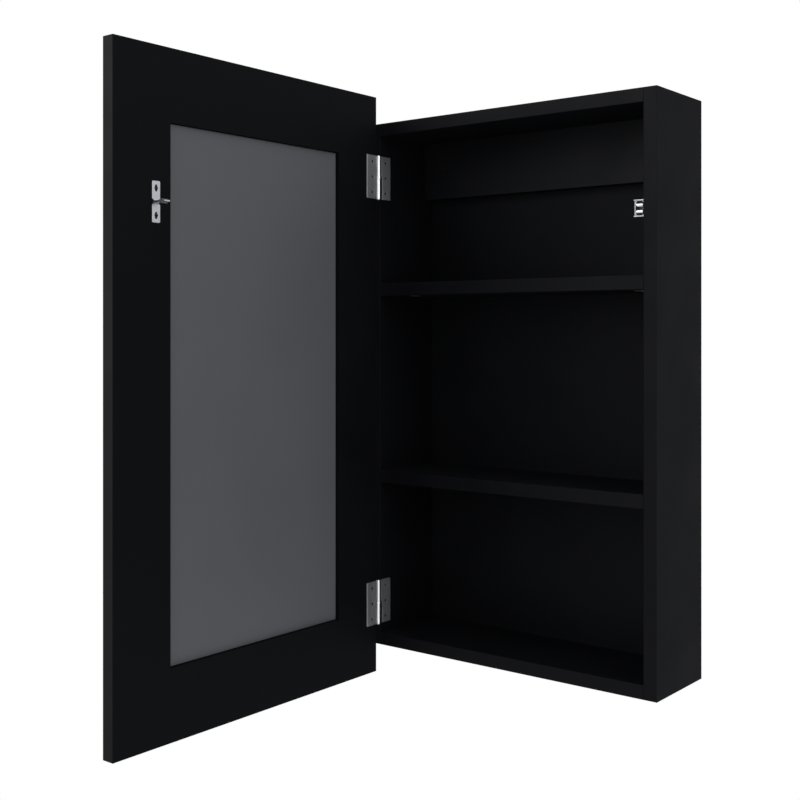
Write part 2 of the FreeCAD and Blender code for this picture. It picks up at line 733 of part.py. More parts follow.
def catch_housing():
    """Pressed steel box, open to the front, with pin slots in its two short cheeks and a screwed flange."""
    front = f"({FRONT} + catch_setback)"
    low = f"({CATCH_Z} - catch_height / 2)"
    shell = block("CatchShell", (CATCH_LEFT, front, low), ("catch_width", CATCH_DEPTH, "catch_height"))
    corner = (f"({INNER_RIGHT} - catch_wall)", CATCH_FLANGE_Y, f"{CATCH_Z} - catch_flange_height / 2")
    flange = block("CatchFlange", corner, ("catch_wall", "catch_flange", "catch_flange_height"))
    hollow = block("CatchHollow", (f"({CATCH_LEFT} + catch_wall)", front, f"({low} + catch_wall)"),
                   ("catch_width - 2 * catch_wall", f"{CATCH_DEPTH} - catch_wall",
                    "catch_height - 2 * catch_wall"))
    cheek_cut = block("CatchCheekCut", (CATCH_LEFT, front, f"({low} + catch_wall)"),
                      ("catch_width", "cheek_setback", "catch_height - 2 * catch_wall"))
    wide = "(roller_pin + 2 * running_gap)"
    slots = []
    for side in (1, -1):
        start = f"({roller_level(side)} - {wide} / 2 - {(1 - side) // 2} * {ROLLER_TRAVEL})"
        slots.append(block(f"CatchSlot{'Up' if side > 0 else 'Down'}",
                           (CATCH_LEFT, f"({ROLLER_Y} - {wide} / 2)", start),
                           ("catch_width", wide, f"{wide} + {ROLLER_TRAVEL}")))
    inside = joined("CatchInside", [hollow, cheek_cut] + slots)
    seats = copies("CatchFlangeSeat", seat, CATCH_SCREWS, "+x")
    sub_part(cut("CatchHousing", joined("CatchBlank", [shell, flange]), [inside] + seats), "catch_housing")
    sub_part(group("CatchScrews", copies("CatchScrew", screw, CATCH_SCREWS, "+x")), "catch_screws")


def catch_roller(position, side):
    """A roller on its pin, and the bent strip spring that presses the pin inwards."""
    name = position.title()
    level = roller_level(side)
    pin = rod(f"{name}RollerPin", (f"({CATCH_LEFT} + roller_pin_end_gap)", ROLLER_Y, level), "+x",
              "roller_pin", "catch_width - 2 * roller_pin_end_gap")
    sub_part(pin, f"{position}_roller_pin")
    start = f"({CATCH_X} - {ROLLER_LENGTH} / 2)"
    drum = rod(f"{name}RollerDrum", (start, ROLLER_Y, level), "+x", "roller_diameter", ROLLER_LENGTH)
    bore = rod(f"{name}RollerBore", (start, ROLLER_Y, level), "+x",
               "roller_pin + 2 * running_gap", ROLLER_LENGTH)
    sub_part(cut(f"{name}Roller", drum, [bore]), f"{position}_catch_roller")
    catch_spring(position, side)


def catch_spring(position, side):
    """A strip bent like a staple: its feet on the pin beside the roller, its crown on the housing."""
    name = position.title() + "CatchSpring"
    foot = f"({side} * ({ROLLER_PITCH} / 2 + roller_pin / 2 + spring_contact_gap))"
    crown = f"({side} * (catch_height / 2 - catch_wall))"
    under = f"({crown} - {side} * spring_strip)"
    bend = f"({side} * ({ROLLER_PITCH} / 2 + roller_diameter / 2 + spring_strip + spring_bend_room))"
    inner_bend = f"({bend} - {side} * spring_strip / 2)"
    inner = f"({ROLLER_LENGTH} / 2 + spring_side_gap)"
    outer = f"({inner} + spring_strip)"
    crown_half = "(spring_crown / 2)"
    under_half = "(spring_crown / 2 - spring_strip / 3)"
    right = [(outer, foot), (outer, bend), (crown_half, crown)]
    left = [(f"(-{x})", z) for x, z in reversed(right)]
    inner_left = [(f"(-{inner})", foot), (f"(-{inner})", inner_bend), (f"(-{under_half})", under)]
    inner_right = [(under_half, under), (inner, inner_bend), (inner, foot)]
    body = padded(name, (CATCH_X, ROLLER_Y, CATCH_Z), "XZ_Plane", right + left + inner_left + inner_right,
                  "spring_width", midplane=True)
    sub_part(body, f"{position}_catch_spring")


def striker():
    """Folded steel strip on the door: two slotted tabs, and a spear that the rollers grip."""
    place = (INNER_LEFT, STRIKE_Y, CATCH_Z)
    neck = "(spear_neck / 2)"
    tip = f"({SHUT_GAP} + {SPEAR_END})"
    bulb = f"({tip} - spear_tip_length)"
    back = f"({bulb} - spear_bulb_slope)"
    tab = "(strike_fold + strike_thickness)"
    upper = [
        ("strike_thickness", tab),
        ("strike_thickness", "strike_fold"),
        ("(strike_thickness + strike_fold / 6)", f"({neck} + strike_fold / 6)"),
        ("(strike_thickness + strike_fold / 2)", neck),
        (back, neck),
        (bulb, "(spear_bulb / 2)"),
        (tip, "(spear_tip / 2)"),
    ]
    lower = [(x, f"(-{z})") for x, z in reversed(upper)]
    fold = [
        ("0", f"(-{tab})"),
        ("0", "(strike_thickness / 4 - strike_fold)"),
        ("(strike_thickness / 2)", "(-spear_neck / 4)"),
        ("(strike_thickness / 2)", "(spear_neck / 4)"),
        ("0", "(strike_fold - strike_thickness / 4)"),
        ("0", tab),
    ]
    spear = padded("StrikeSpear", place, "XZ_Plane", upper + lower + fold, "spear_width", midplane=True)
    tabs = []
    slots = []
    for side, name in ((1, "Up"), (-1, "Down")):
        low = "strike_fold" if side > 0 else "(-strike_height / 2)"
        corner = (INNER_LEFT, f"{STRIKE_Y} - strike_width / 2", f"{CATCH_Z} + {low}")
        tabs.append(block(f"StrikeTab{name}", corner,
                          ("strike_thickness", "strike_width", "strike_height / 2 - strike_fold")))
        slots.append(strike_slot(name, f"({CATCH_Z} + {side} * {STRIKE_REACH})"))
    seats = [joined(f"StrikeHole{count}", [slot, *copies(f"StrikeSink{count}", seat, [place], "-x")])
             for count, (slot, place) in enumerate(zip(slots, STRIKE_SCREWS))]
    sub_part(cut("Striker", joined("StrikeBlank", [spear] + tabs), seats), "striker")
    sub_part(group("StrikeScrews", copies("StrikeScrew", screw, STRIKE_SCREWS, "-x")), "striker_screws")


def strike_slot(name, level):
    """An upright slot with round ends, for setting the striker's height."""
    wide = "(screw_shank + 2 * running_gap)"
    half = f"((strike_slot_length - {wide}) / 2)"
    across = f"({STRIKE_Y} - {wide} / 2)"
    ends = [rod(f"StrikeSlot{name}{end}", (INNER_LEFT, STRIKE_Y, f"({level} {sign} {half})"), "+x", wide,
                "strike_thickness") for end, sign in (("Head", "+"), ("Foot", "-"))]
    bar = block(f"StrikeSlotBar{name}", (INNER_LEFT, across, f"({level} - {half})"),
                ("strike_thickness", wide, f"2 * {half}"))
    return joined(f"StrikeSlot{name}", [bar] + ends)


def check_and_write():
    """Stop on any failed object or bad shape, then write each sub-part to its own file."""
    doc.recompute()
    failed = [item.Label for item in doc.Objects if {"Invalid", "Error"} & set(item.State)]
    bad = [item.Label for item in sub_parts if item.Shape.isNull() or not item.Shape.isValid()]
    if failed or bad:
        raise RuntimeError(f"failed objects {failed}, bad shapes {bad}")
    os.makedirs("parts", exist_ok=True)
    for item in sub_parts:
        item.Shape.exportStep(f"parts/{item.Label}.step")
        print(f"{item.Label}: {len(item.Shape.Solids)} solids, {item.Shape.Volume:.1f} mm3")


carcass()
back_panel()
hanging_rail()
carcass_edge_bands()
carcass_fittings()
door_panel()
door_edge_bands()
mirror()
hinges()
catch_housing()
catch_roller("upper", 1)
catch_roller("lower", -1)
striker()
check_and_write()
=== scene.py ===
"""Wall-hung medicine cabinet of black laminated board, its mirrored door open at a right angle.

Metres, +X right, +Y into the wall, +Z up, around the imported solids.
"""
import math

import bmesh
import bpy
from mathutils import Matrix, Vector


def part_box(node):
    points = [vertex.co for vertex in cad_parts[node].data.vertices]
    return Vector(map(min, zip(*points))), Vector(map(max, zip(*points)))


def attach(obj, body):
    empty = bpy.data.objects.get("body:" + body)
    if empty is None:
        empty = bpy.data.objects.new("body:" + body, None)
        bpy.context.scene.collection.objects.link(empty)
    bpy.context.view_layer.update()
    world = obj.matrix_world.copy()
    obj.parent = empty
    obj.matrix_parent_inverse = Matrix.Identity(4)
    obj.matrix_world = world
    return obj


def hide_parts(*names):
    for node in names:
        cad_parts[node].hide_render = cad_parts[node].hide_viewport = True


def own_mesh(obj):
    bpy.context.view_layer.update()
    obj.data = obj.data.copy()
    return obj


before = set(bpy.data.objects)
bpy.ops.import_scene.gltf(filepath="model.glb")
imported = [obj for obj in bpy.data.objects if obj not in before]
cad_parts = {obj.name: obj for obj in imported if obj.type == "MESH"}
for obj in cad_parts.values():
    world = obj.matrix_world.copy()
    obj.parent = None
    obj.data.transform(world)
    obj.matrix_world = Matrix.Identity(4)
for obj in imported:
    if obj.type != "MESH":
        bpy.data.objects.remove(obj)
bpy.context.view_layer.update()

# Carcass and door boards
# Chipboard faced on both sides with matte black melamine, sawn to size, drilled for its fittings
# and pulled together with cams and dowels. The paper face has a very fine pearl texture.

BOARD_NODES = (
    "left_side_panel", "right_side_panel", "top_panel", "bottom_panel",
    "upper_shelf", "lower_shelf", "door_panel",
)
GRAIN_DETAIL = 3.0
CLOUD_DETAIL = 5.0
GRAIN_SHARE = 0.35
NOISE_LOW = 0.3
NOISE_HIGH = 0.7
BUMP_STRENGTH = 0.35


def new_finish(name):
    """A material with one principled shader; returns it, its node tree and the shader."""
    finish = bpy.data.materials.new(name)
    finish.use_nodes = True
    tree = finish.node_tree
    shader = next(node for node in tree.nodes if node.type == "BSDF_PRINCIPLED")
    return finish, tree, shader


def add_node(tree, kind, **settings):
    """A node of one kind with its settings."""
    node = tree.nodes.new(kind)
    for name, value in settings.items():
        setattr(node, name, value)
    return node


def new_effect(name, inputs, outputs):
    """An empty shader node group with named sockets; returns it, its input and its output node."""
    effect = bpy.data.node_groups.new(name, "ShaderNodeTree")
    for label, kind, value in inputs:
        effect.interface.new_socket(label, in_out="INPUT", socket_type=kind).default_value = value
    for label, kind in outputs:
        effect.interface.new_socket(label, in_out="OUTPUT", socket_type=kind)
    return effect, add_node(effect, "NodeGroupInput"), add_node(effect, "NodeGroupOutput")


def pearl_texture():
    """Fine grains and broad clouds of a pressed or painted sheet: colour, roughness and height."""
    effect, given, result = new_effect("pearl_texture", (
        ("Grain Scale", "NodeSocketFloat", 900.0),
        ("Cloud Scale", "NodeSocketFloat", 14.0),
        ("Dark", "NodeSocketColor", (0.004, 0.004, 0.004, 1.0)),
        ("Light", "NodeSocketColor", (0.006, 0.006, 0.006, 1.0)),
        ("Smooth", "NodeSocketFloat", 0.4),
        ("Rough", "NodeSocketFloat", 0.55),
    ), (("Color", "NodeSocketColor"), ("Roughness", "NodeSocketFloat"), ("Height", "NodeSocketFloat")))
    place = add_node(effect, "ShaderNodeTexCoord")
    grain = add_node(effect, "ShaderNodeTexNoise")
    grain.inputs["Detail"].default_value = GRAIN_DETAIL
    cloud = add_node(effect, "ShaderNodeTexNoise")
    cloud.inputs["Detail"].default_value = CLOUD_DETAIL
    mixed = add_node(effect, "ShaderNodeMath", operation="MULTIPLY_ADD")
    mixed.inputs[1].default_value = GRAIN_SHARE
    tone = add_node(effect, "ShaderNodeMix", data_type="RGBA")
    wear = add_node(effect, "ShaderNodeMapRange")
    link = effect.links.new
    for texture, scale in ((grain, "Grain Scale"), (cloud, "Cloud Scale")):
        link(place.outputs["Object"], texture.inputs["Vector"])
        link(given.outputs[scale], texture.inputs["Scale"])
    spread = add_node(effect, "ShaderNodeMapRange")
    spread.inputs["From Min"].default_value = NOISE_LOW
    spread.inputs["From Max"].default_value = NOISE_HIGH
    link(cloud.outputs["Fac"], spread.inputs["Value"])
    link(grain.outputs["Fac"], mixed.inputs[0])
    link(spread.outputs["Result"], mixed.inputs[2])
    link(mixed.outputs["Value"], tone.inputs["Factor"])
    link(given.outputs["Dark"], tone.inputs["A"])
    link(given.outputs["Light"], tone.inputs["B"])
    link(mixed.outputs["Value"], wear.inputs["Value"])
    link(given.outputs["Smooth"], wear.inputs["To Min"])
    link(given.outputs["Rough"], wear.inputs["To Max"])
    link(tone.outputs["Result"], result.inputs["Color"])
    link(wear.outputs["Result"], result.inputs["Roughness"])
    link(grain.outputs["Fac"], result.inputs["Height"])
    return effect


PEARL_TEXTURE = pearl_texture()


def add_effect(tree, shader, effect, values, bump_depth):
    """Put a texture group into a material: its colour, roughness and, through a bump, its height."""
    node = add_node(tree, "ShaderNodeGroup", node_tree=effect)
    for label, value in values.items():
        node.inputs[label].default_value = value
    tree.links.new(node.outputs["Color"], shader.inputs["Base Color"])
    tree.links.new(node.outputs["Roughness"], shader.inputs["Roughness"])
    bump = add_node(tree, "ShaderNodeBump")
    bump.inputs["Strength"].default_value = BUMP_STRENGTH
    bump.inputs["Distance"].default_value = bump_depth
    tree.links.new(node.outputs["Height"], bump.inputs["Height"])
    tree.links.new(bump.outputs["Normal"], shader.inputs["Normal"])
    return node


def dress(node, finish):
    """Give a solid of the frame its finish."""
    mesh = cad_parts[node].data
    mesh.materials.clear()
    mesh.materials.append(finish)


black_melamine, tree, shader = new_finish("black_melamine")
shader.inputs["Specular IOR Level"].default_value = 0.04
add_effect(tree, shader, PEARL_TEXTURE, {
    "Grain Scale": 1100.0,
    "Cloud Scale": 11.0,
    "Dark": (0.0038, 0.0041, 0.0052, 1.0),
    "Light": (0.0054, 0.0058, 0.0072, 1.0),
    "Smooth": 0.6,
    "Rough": 0.74,
}, bump_depth=0.00006)
for node in BOARD_NODES:
    dress(node, black_melamine)

# Edge bands
# Thin plastic strips glued along the boards' sawn edges, black to match, their long corners
# scraped round. The cabinet has them on its front edges, the door on all four, and the hanging
# rail is wrapped in a like film with a little more sheen.

BAND = 0.0006
BAND_ROUND = 0.00045
SHARP_ANGLE = math.radians(34)
LEVEL_ANGLE = math.radians(1)
ROUNDING_SHARE = 0.2
BOARD = 0.015
SAME_PLACE = 1e-6


def strip(bm, low, high, outer, round_ends):
    """One band: a thin box whose outer face, along one axis and side, has its corners rounded."""
    axis, side = outer
    size = [b - a for a, b in zip(low, high)]
    centre = [(a + b) / 2 for a, b in zip(low, high)]
    placing = Matrix.Translation(centre) @ Matrix.Diagonal((*size, 1.0))
    made = bmesh.ops.create_cube(bm, size=1.0, matrix=placing)
    length_axis = size.index(max(size))
    face_place = high[axis] if side > 0 else low[axis]
    edges = []
    for edge in dict.fromkeys(edge for vert in made["verts"] for edge in vert.link_edges):
        if all(abs(vert.co[axis] - face_place) < SAME_PLACE for vert in edge.verts):
            along = edge.verts[1].co - edge.verts[0].co
            if round_ends or abs(along[length_axis]) > SAME_PLACE:
                edges.append(edge)
    bmesh.ops.bevel(bm, geom=edges, offset=BAND_ROUND, segments=3, profile=0.5, affect="EDGES")


def order_by_place(bm):
    """The bevel tool leaves its points and faces in a chance order; this one is the same each run."""
    places = (
        (bm.verts, lambda vert: vert.co[:]),
        (bm.edges, lambda edge: (edge.verts[0].co + edge.verts[1].co)[:]),
        (bm.faces, lambda face: face.calc_center_median()[:]),
    )
    for elements, place in places:
        for rank, element in enumerate(sorted(elements, key=place)):
            element.index = rank
        elements.sort()


def shades_round(edge):
    """Round surfaces run on over an edge; a large flat face stays flat beside a small rounding."""
    if not edge.is_manifold:
        return False
    turn = edge.calc_face_angle(0.0)
    small, large = sorted(face.calc_area() for face in edge.link_faces)
    return turn < LEVEL_ANGLE or (turn < SHARP_ANGLE and small > ROUNDING_SHARE * large)


def new_piece(name, bm, *finishes):
    """A mesh object at the origin from finished mesh data."""
    mesh = bpy.data.meshes.new(name)
    bmesh.ops.recalc_face_normals(bm, faces=bm.faces)
    for face in bm.faces:
        face.smooth = True
    for edge in bm.edges:
        edge.smooth = shades_round(edge)
    bm.to_mesh(mesh)
    bm.free()
    for finish in finishes:
        mesh.materials.append(finish)
    piece = bpy.data.objects.new(name, mesh)
    bpy.context.collection.objects.link(piece)
    return piece


def stands_for(piece, body, slot, *nodes):
    """The piece moves with its body and takes the place of the frame's plain solids."""
    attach(piece, body)
    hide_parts(*nodes)


black_band, tree, shader = new_finish("black_edge_band")
shader.inputs["Specular IOR Level"].default_value = 0.068
add_effect(tree, shader, PEARL_TEXTURE, {
    "Grain Scale": 1500.0,
    "Cloud Scale": 20.0,
    "Dark": (0.0027, 0.0029, 0.0038, 1.0),
    "Light": (0.0035, 0.0037, 0.0048, 1.0),
    "Smooth": 0.4,
    "Rough": 0.55,
}, bump_depth=0.00004)

rail_film, tree, shader = new_finish("black_rail_film")
shader.inputs["Specular IOR Level"].default_value = 0.095
add_effect(tree, shader, PEARL_TEXTURE, {
    "Grain Scale": 1200.0,
    "Cloud Scale": 16.0,
    "Dark": (0.0037, 0.004, 0.0051, 1.0),
    "Light": (0.0049, 0.0053, 0.0066, 1.0),
    "Smooth": 0.4,
    "Rough": 0.55,
}, bump_depth=0.00004)
dress("hanging_rail", rail_film)

bands_low, bands_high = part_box("carcass_edge_bands")
inner_left = bands_low[0] + BOARD
inner_right = bands_high[0] - BOARD
band_front = bands_low[1]
band_back = band_front + BAND
FRONT_FACE = (1, -1)
bm = bmesh.new()
for left in (bands_low[0], inner_right):
    strip(bm, (left, band_front, bands_low[2]), (left + BOARD, band_back, bands_high[2]), FRONT_FACE, True)
for board in ("top_panel", "upper_shelf", "lower_shelf", "bottom_panel"):
    low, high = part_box(board)
    strip(bm, (inner_left, band_front, low[2]), (inner_right, band_back, high[2]), FRONT_FACE, False)
order_by_place(bm)
cabinet_bands = new_piece("cabinet_front_bands", bm, black_band)
stands_for(cabinet_bands, "cabinet", "edge_band", "carcass_edge_bands")

door_low, door_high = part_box("door_edge_bands")
bm = bmesh.new()
for side, place in ((-1, door_low[1]), (1, door_high[1] - BAND)):
    strip(bm, (door_low[0], place, door_low[2]), (door_high[0], place + BAND, door_high[2]), (1, side), True)
for side, place in ((-1, door_low[2]), (1, door_high[2] - BAND)):
    strip(bm, (door_low[0], door_low[1] + BAND, place), (door_high[0], door_high[1] - BAND, place + BAND),
          (2, side), False)
order_by_place(bm)
door_bands = new_piece("door_edge_strips", bm, black_band)
stands_for(door_bands, "door", "edge_band", "door_edge_bands")

# Back panel
# Three millimetres of hardboard, painted black inside and left brown on the wall side, let into
# the boards' rebates and nailed.

PAINT_DEPTH = -0.0012
FIBRE_SCALE = 320.0
back_sheet, tree, shader = new_finish("painted_hardboard")
shader.inputs["Specular IOR Level"].default_value = 0.052
painted = add_effect(tree, shader, PEARL_TEXTURE, {
    "Grain Scale": 1300.0,
    "Cloud Scale": 9.0,
    "Dark": (0.0043, 0.0046, 0.0057, 1.0),
    "Light": (0.0057, 0.0061, 0.0074, 1.0),
    "Smooth": 0.4,
    "Rough": 0.55,
}, bump_depth=0.00005)
place = add_node(tree, "ShaderNodeTexCoord")
fibres = add_node(tree, "ShaderNodeTexNoise")
fibres.inputs["Scale"].default_value = FIBRE_SCALE
fibres.inputs["Detail"].default_value = 6.0
fibre_tone = add_node(tree, "ShaderNodeValToRGB")
fibre_tone.color_ramp.elements[0].position = 0.3
fibre_tone.color_ramp.elements[0].color = (0.085, 0.045, 0.022, 1.0)
fibre_tone.color_ramp.elements[1].position = 0.75
fibre_tone.color_ramp.elements[1].color = (0.19, 0.105, 0.055, 1.0)
depth = add_node(tree, "ShaderNodeSeparateXYZ")
wall_side = add_node(tree, "ShaderNodeMath", operation="GREATER_THAN")
wall_side.inputs[1].default_value = PAINT_DEPTH
sides = add_node(tree, "ShaderNodeMix", data_type="RGBA")
link = tree.links.new
link(place.outputs["Object"], fibres.inputs["Vector"])
link(place.outputs["Object"], depth.inputs["Vector"])
link(fibres.outputs["Fac"], fibre_tone.inputs["Fac"])
link(depth.outputs["Y"], wall_side.inputs[0])
link(wall_side.outputs["Value"], sides.inputs["Factor"])
link(painted.outputs["Color"], sides.inputs["A"])
link(fibre_tone.outputs["Color"], sides.inputs["B"])
link(sides.outputs["Result"], shader.inputs["Base Color"])
dress("back_panel", back_sheet)

# Board fittings
# Beech dowels and steel bolts inside the joints, die-cast zinc cams let into the boards flush with
# their faces, and flat-headed nails through the back panel.

beech, tree, shader = new_finish("beech")
shader.inputs["Roughness"].default_value = 0.6
place = add_node(tree, "ShaderNodeTexCoord")
along = add_node(tree, "ShaderNodeMapping")
along.inputs["Scale"].default_value = (60.0, 900.0, 900.0)
grain = add_node(tree, "ShaderNodeTexNoise")
grain.inputs["Scale"].default_value = 1.0
grain.inputs["Detail"].default_value = 5.0
tone = add_node(tree, "ShaderNodeValToRGB")
tone.color_ramp.elements[0].position = 0.35
tone.color_ramp.elements[0].color = (0.36, 0.2, 0.1, 1.0)
tone.color_ramp.elements[1].position = 0.7
tone.color_ramp.elements[1].color = (0.58, 0.38, 0.22, 1.0)
link = tree.links.new
link(place.outputs["Object"], along.inputs["Vector"])
link(along.outputs["Vector"], grain.inputs["Vector"])
link(grain.outputs["Fac"], tone.inputs["Fac"])
link(tone.outputs["Color"], shader.inputs["Base Color"])
dress("wood_dowels", beech)


def drawn_metal():
    """Fine lines of drawn, rolled or brushed metal: colour, roughness and height."""
    effect, given, result = new_effect("drawn_metal", (
        ("Line Scale", "NodeSocketVector", (200.0, 3000.0, 200.0)),
        ("Dark", "NodeSocketColor", (0.5, 0.5, 0.51, 1.0)),
        ("Light", "NodeSocketColor", (0.7, 0.7, 0.71, 1.0)),
        ("Smooth", "NodeSocketFloat", 0.15),
        ("Rough", "NodeSocketFloat", 0.3),
    ), (("Color", "NodeSocketColor"), ("Roughness", "NodeSocketFloat"), ("Height", "NodeSocketFloat")))
    place = add_node(effect, "ShaderNodeTexCoord")
    stretch = add_node(effect, "ShaderNodeVectorMath", operation="MULTIPLY")
    lines = add_node(effect, "ShaderNodeTexNoise")
    lines.inputs["Scale"].default_value = 1.0
    lines.inputs["Detail"].default_value = 4.0
    tone = add_node(effect, "ShaderNodeMix", data_type="RGBA")
    polish = add_node(effect, "ShaderNodeMapRange")
    polish.inputs["From Min"].default_value = NOISE_LOW
    polish.inputs["From Max"].default_value = NOISE_HIGH
    link = effect.links.new
    link(place.outputs["Object"], stretch.inputs[0])
    link(given.outputs["Line Scale"], stretch.inputs[1])
    link(stretch.outputs["Vector"], lines.inputs["Vector"])
    link(lines.outputs["Fac"], tone.inputs["Factor"])
    link(given.outputs["Dark"], tone.inputs["A"])
    link(given.outputs["Light"], tone.inputs["B"])
    link(lines.outputs["Fac"], polish.inputs["Value"])
    link(given.outputs["Smooth"], polish.inputs["To Min"])
    link(given.outputs["Rough"], polish.inputs["To Max"])
    link(tone.outputs["Result"], result.inputs["Color"])
    link(polish.outputs["Result"], result.inputs["Roughness"])
    link(lines.outputs["Fac"], result.inputs["Height"])
    return effect


DRAWN_METAL = drawn_metal()


def metal_finish(name, line_scale, dark, light, smooth, rough, bump_depth=0.00001):
    """Plated, cast or drawn metal with lines stretched by the scale along each axis."""
    finish, tree, shader = new_finish(name)
    shader.inputs["Metallic"].default_value = 1.0
    add_effect(tree, shader, DRAWN_METAL, {
        "Line Scale": line_scale,
        "Dark": (*dark, 1.0),
        "Light": (*light, 1.0),
        "Smooth": smooth,
        "Rough": rough,
    }, bump_depth)
    return finish


bright_zinc = metal_finish(
    "bright_zinc", line_scale=(900.0, 900.0, 900.0), dark=(0.62, 0.63, 0.65), light=(0.8, 0.81, 0.83),
    smooth=0.14, rough=0.26,
)
cast_zinc = metal_finish(
    "cast_zinc", line_scale=(1400.0, 1400.0, 1400.0), dark=(0.4, 0.41, 0.43), light=(0.58, 0.59, 0.61),
    smooth=0.35, rough=0.5, bump_depth=0.00004,
)
dress("cam_bolts", bright_zinc)
dress("back_panel_nails", bright_zinc)
dress("cam_nuts", cast_zinc)

# Mirror
# A sheet of silvered float glass with ground corners, lying in the door's front rebate on strips
# of foam tape, with a grey backing sheet behind it in the cut-out.

GLASS_CORNER = 0.0008
FACE_ON = 0.999
silvered, tree, shader = new_finish("silvered_glass")
shader.inputs["Metallic"].default_value = 1.0
add_effect(tree, shader, PEARL_TEXTURE, {
    "Grain Scale": 60.0,
    "Cloud Scale": 5.0,
    "Dark": (0.84, 0.87, 0.865, 1.0),
    "Light": (0.88, 0.905, 0.9, 1.0),
    "Smooth": 0.012,
    "Rough": 0.03,
}, bump_depth=0.0000005)
glass_edge, tree, shader = new_finish("ground_glass_edge")
add_effect(tree, shader, PEARL_TEXTURE, {
    "Grain Scale": 2500.0,
    "Cloud Scale": 40.0,
    "Dark": (0.05, 0.12, 0.1, 1.0),
    "Light": (0.12, 0.24, 0.2, 1.0),
    "Smooth": 0.2,
    "Rough": 0.45,
}, bump_depth=0.00003)

low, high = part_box("mirror")
bm = bmesh.new()
size = high - low
placing = Matrix.Translation((low + high) / 2) @ Matrix.Diagonal((*size, 1.0))
bmesh.ops.create_cube(bm, size=1.0, matrix=placing)
bmesh.ops.bevel(bm, geom=list(bm.edges), offset=GLASS_CORNER, segments=2, profile=0.5, affect="EDGES")
for face in bm.faces:
    face.normal_update()
    face.material_index = 0 if abs(face.normal.x) > FACE_ON else 1
order_by_place(bm)
mirror_sheet = new_piece("mirror_sheet", bm, silvered, glass_edge)
stands_for(mirror_sheet, "door", "mirror_glass", "mirror")

grey_backing, tree, shader = new_finish("grey_backing")
shader.inputs["Specular IOR Level"].default_value = 0.2
add_effect(tree, shader, PEARL_TEXTURE, {
    "Grain Scale": 1200.0,
    "Cloud Scale": 7.0,
    "Dark": (0.103, 0.106, 0.1165, 1.0),
    "Light": (0.112, 0.115, 0.1265, 1.0),
    "Smooth": 0.5,
    "Rough": 0.62,
}, bump_depth=0.00004)
dress("mirror_backing", grey_backing)

foam_tape, tree, shader = new_finish("foam_tape")
add_effect(tree, shader, PEARL_TEXTURE, {
    "Grain Scale": 2600.0,
    "Cloud Scale": 60.0,
    "Dark": (0.01, 0.01, 0.011, 1.0),
    "Light": (0.03, 0.03, 0.032, 1.0),
    "Smooth": 0.8,
    "Rough": 0.95,
}, bump_depth=0.0001)
dress("mirror_tape", foam_tape)

# Butt hinges
# Stamped steel leaves, bright nickel plated, each with half of the rolled knuckle, joined by a
# riveted pin with a washer between the halves. Three countersunk screws hold each leaf to the side
# panel or to the door's back.

LEAF_THICKNESS = 0.0012
LEAF_WIDTH = 0.022
LEAF_CORNER = 0.0008
LEAF_ARRIS = 0.00018
LEAF_SCREW_REACH = 0.0125
LEAF_SCREW_PITCH = 0.0185
KNUCKLE_RADIUS = 0.0025
KNUCKLE_RIM = 0.0002
KNUCKLE_GAP = 0.002
LEAF_NOTCH = {"frame": 0.004, "door": 0.0008}
WASHER_RADIUS = 0.0033
WASHER_HALF = 0.0009
PIN_RADIUS = 0.0013
PIN_CLEARANCE = 0.00005
PIN_HEAD_HEIGHT = 0.0007
PIN_DOME = ((0.0, 0.0), (0.0, 0.55), (0.35, 0.9), (1.0, 1.0))
SCREW_HEAD_HOLE = 0.00275
WELD = 1e-7


def turned(bm, start, axis, profile, steps=48):
    """Revolve a closed profile of (along, radius) points about an axis; returns the faces."""
    turn = Vector((0, 0, 1)).rotation_difference(Vector(axis)).to_matrix()
    rings = []
    for step in range(steps):
        angle = 2 * math.pi * step / steps
        ring = []
        for along, radius in profile:
            spot = Vector((radius * math.cos(angle), radius * math.sin(angle), along))
            ring.append(bm.verts.new(Vector(start) + turn @ spot))
        rings.append(ring)
    faces = []
    for ring, following in zip(rings, rings[1:] + rings[:1]):
        for here, there in zip(range(len(profile)), [*range(1, len(profile)), 0]):
            if profile[here][1] + profile[there][1] > 0:
                faces.append(bm.faces.new([ring[here], following[here], following[there], ring[there]]))
    bmesh.ops.remove_doubles(bm, verts=[vert for ring in rings for vert in ring], dist=WELD)
    return [face for face in faces if face.is_valid]


def rounded_tube(length, outer, inner, rounding):
    """Profile of a tube with rounded outer rims."""
    quarter = [math.radians(angle) for angle in (0, 30, 60, 90)]
    near = [(rounding - rounding * math.cos(a), outer - rounding + rounding * math.sin(a)) for a in quarter]
    far = [(length - along, radius) for along, radius in reversed(near)]
    return near + far + [(length, inner), (0.0, inner)]


def round_corner(before, corner, after, radius, steps=5):
    """Points of an arc that rounds one corner of an outline."""
    a = (Vector(before) - Vector(corner)).normalized()
    b = (Vector(after) - Vector(corner)).normalized()
    half = a.angle(b) / 2
    start = Vector(corner) + a * (radius / math.tan(half))
    end = Vector(corner) + b * (radius / math.tan(half))
    crest = Vector(corner) + (a + b).normalized() * (radius / math.sin(half) - radius)
    bulge = crest - start.lerp(end, 0.5)
    return [start.lerp(end, t / steps) + bulge * math.sin(math.pi * t / steps) for t in range(steps + 1)]


def circle_points(centre, radius, steps=32):
    """Points of a round hole's outline."""
    return [Vector((centre[0] + radius * math.cos(2 * math.pi * step / steps),
                    centre[1] + radius * math.sin(2 * math.pi * step / steps))) for step in range(steps)]


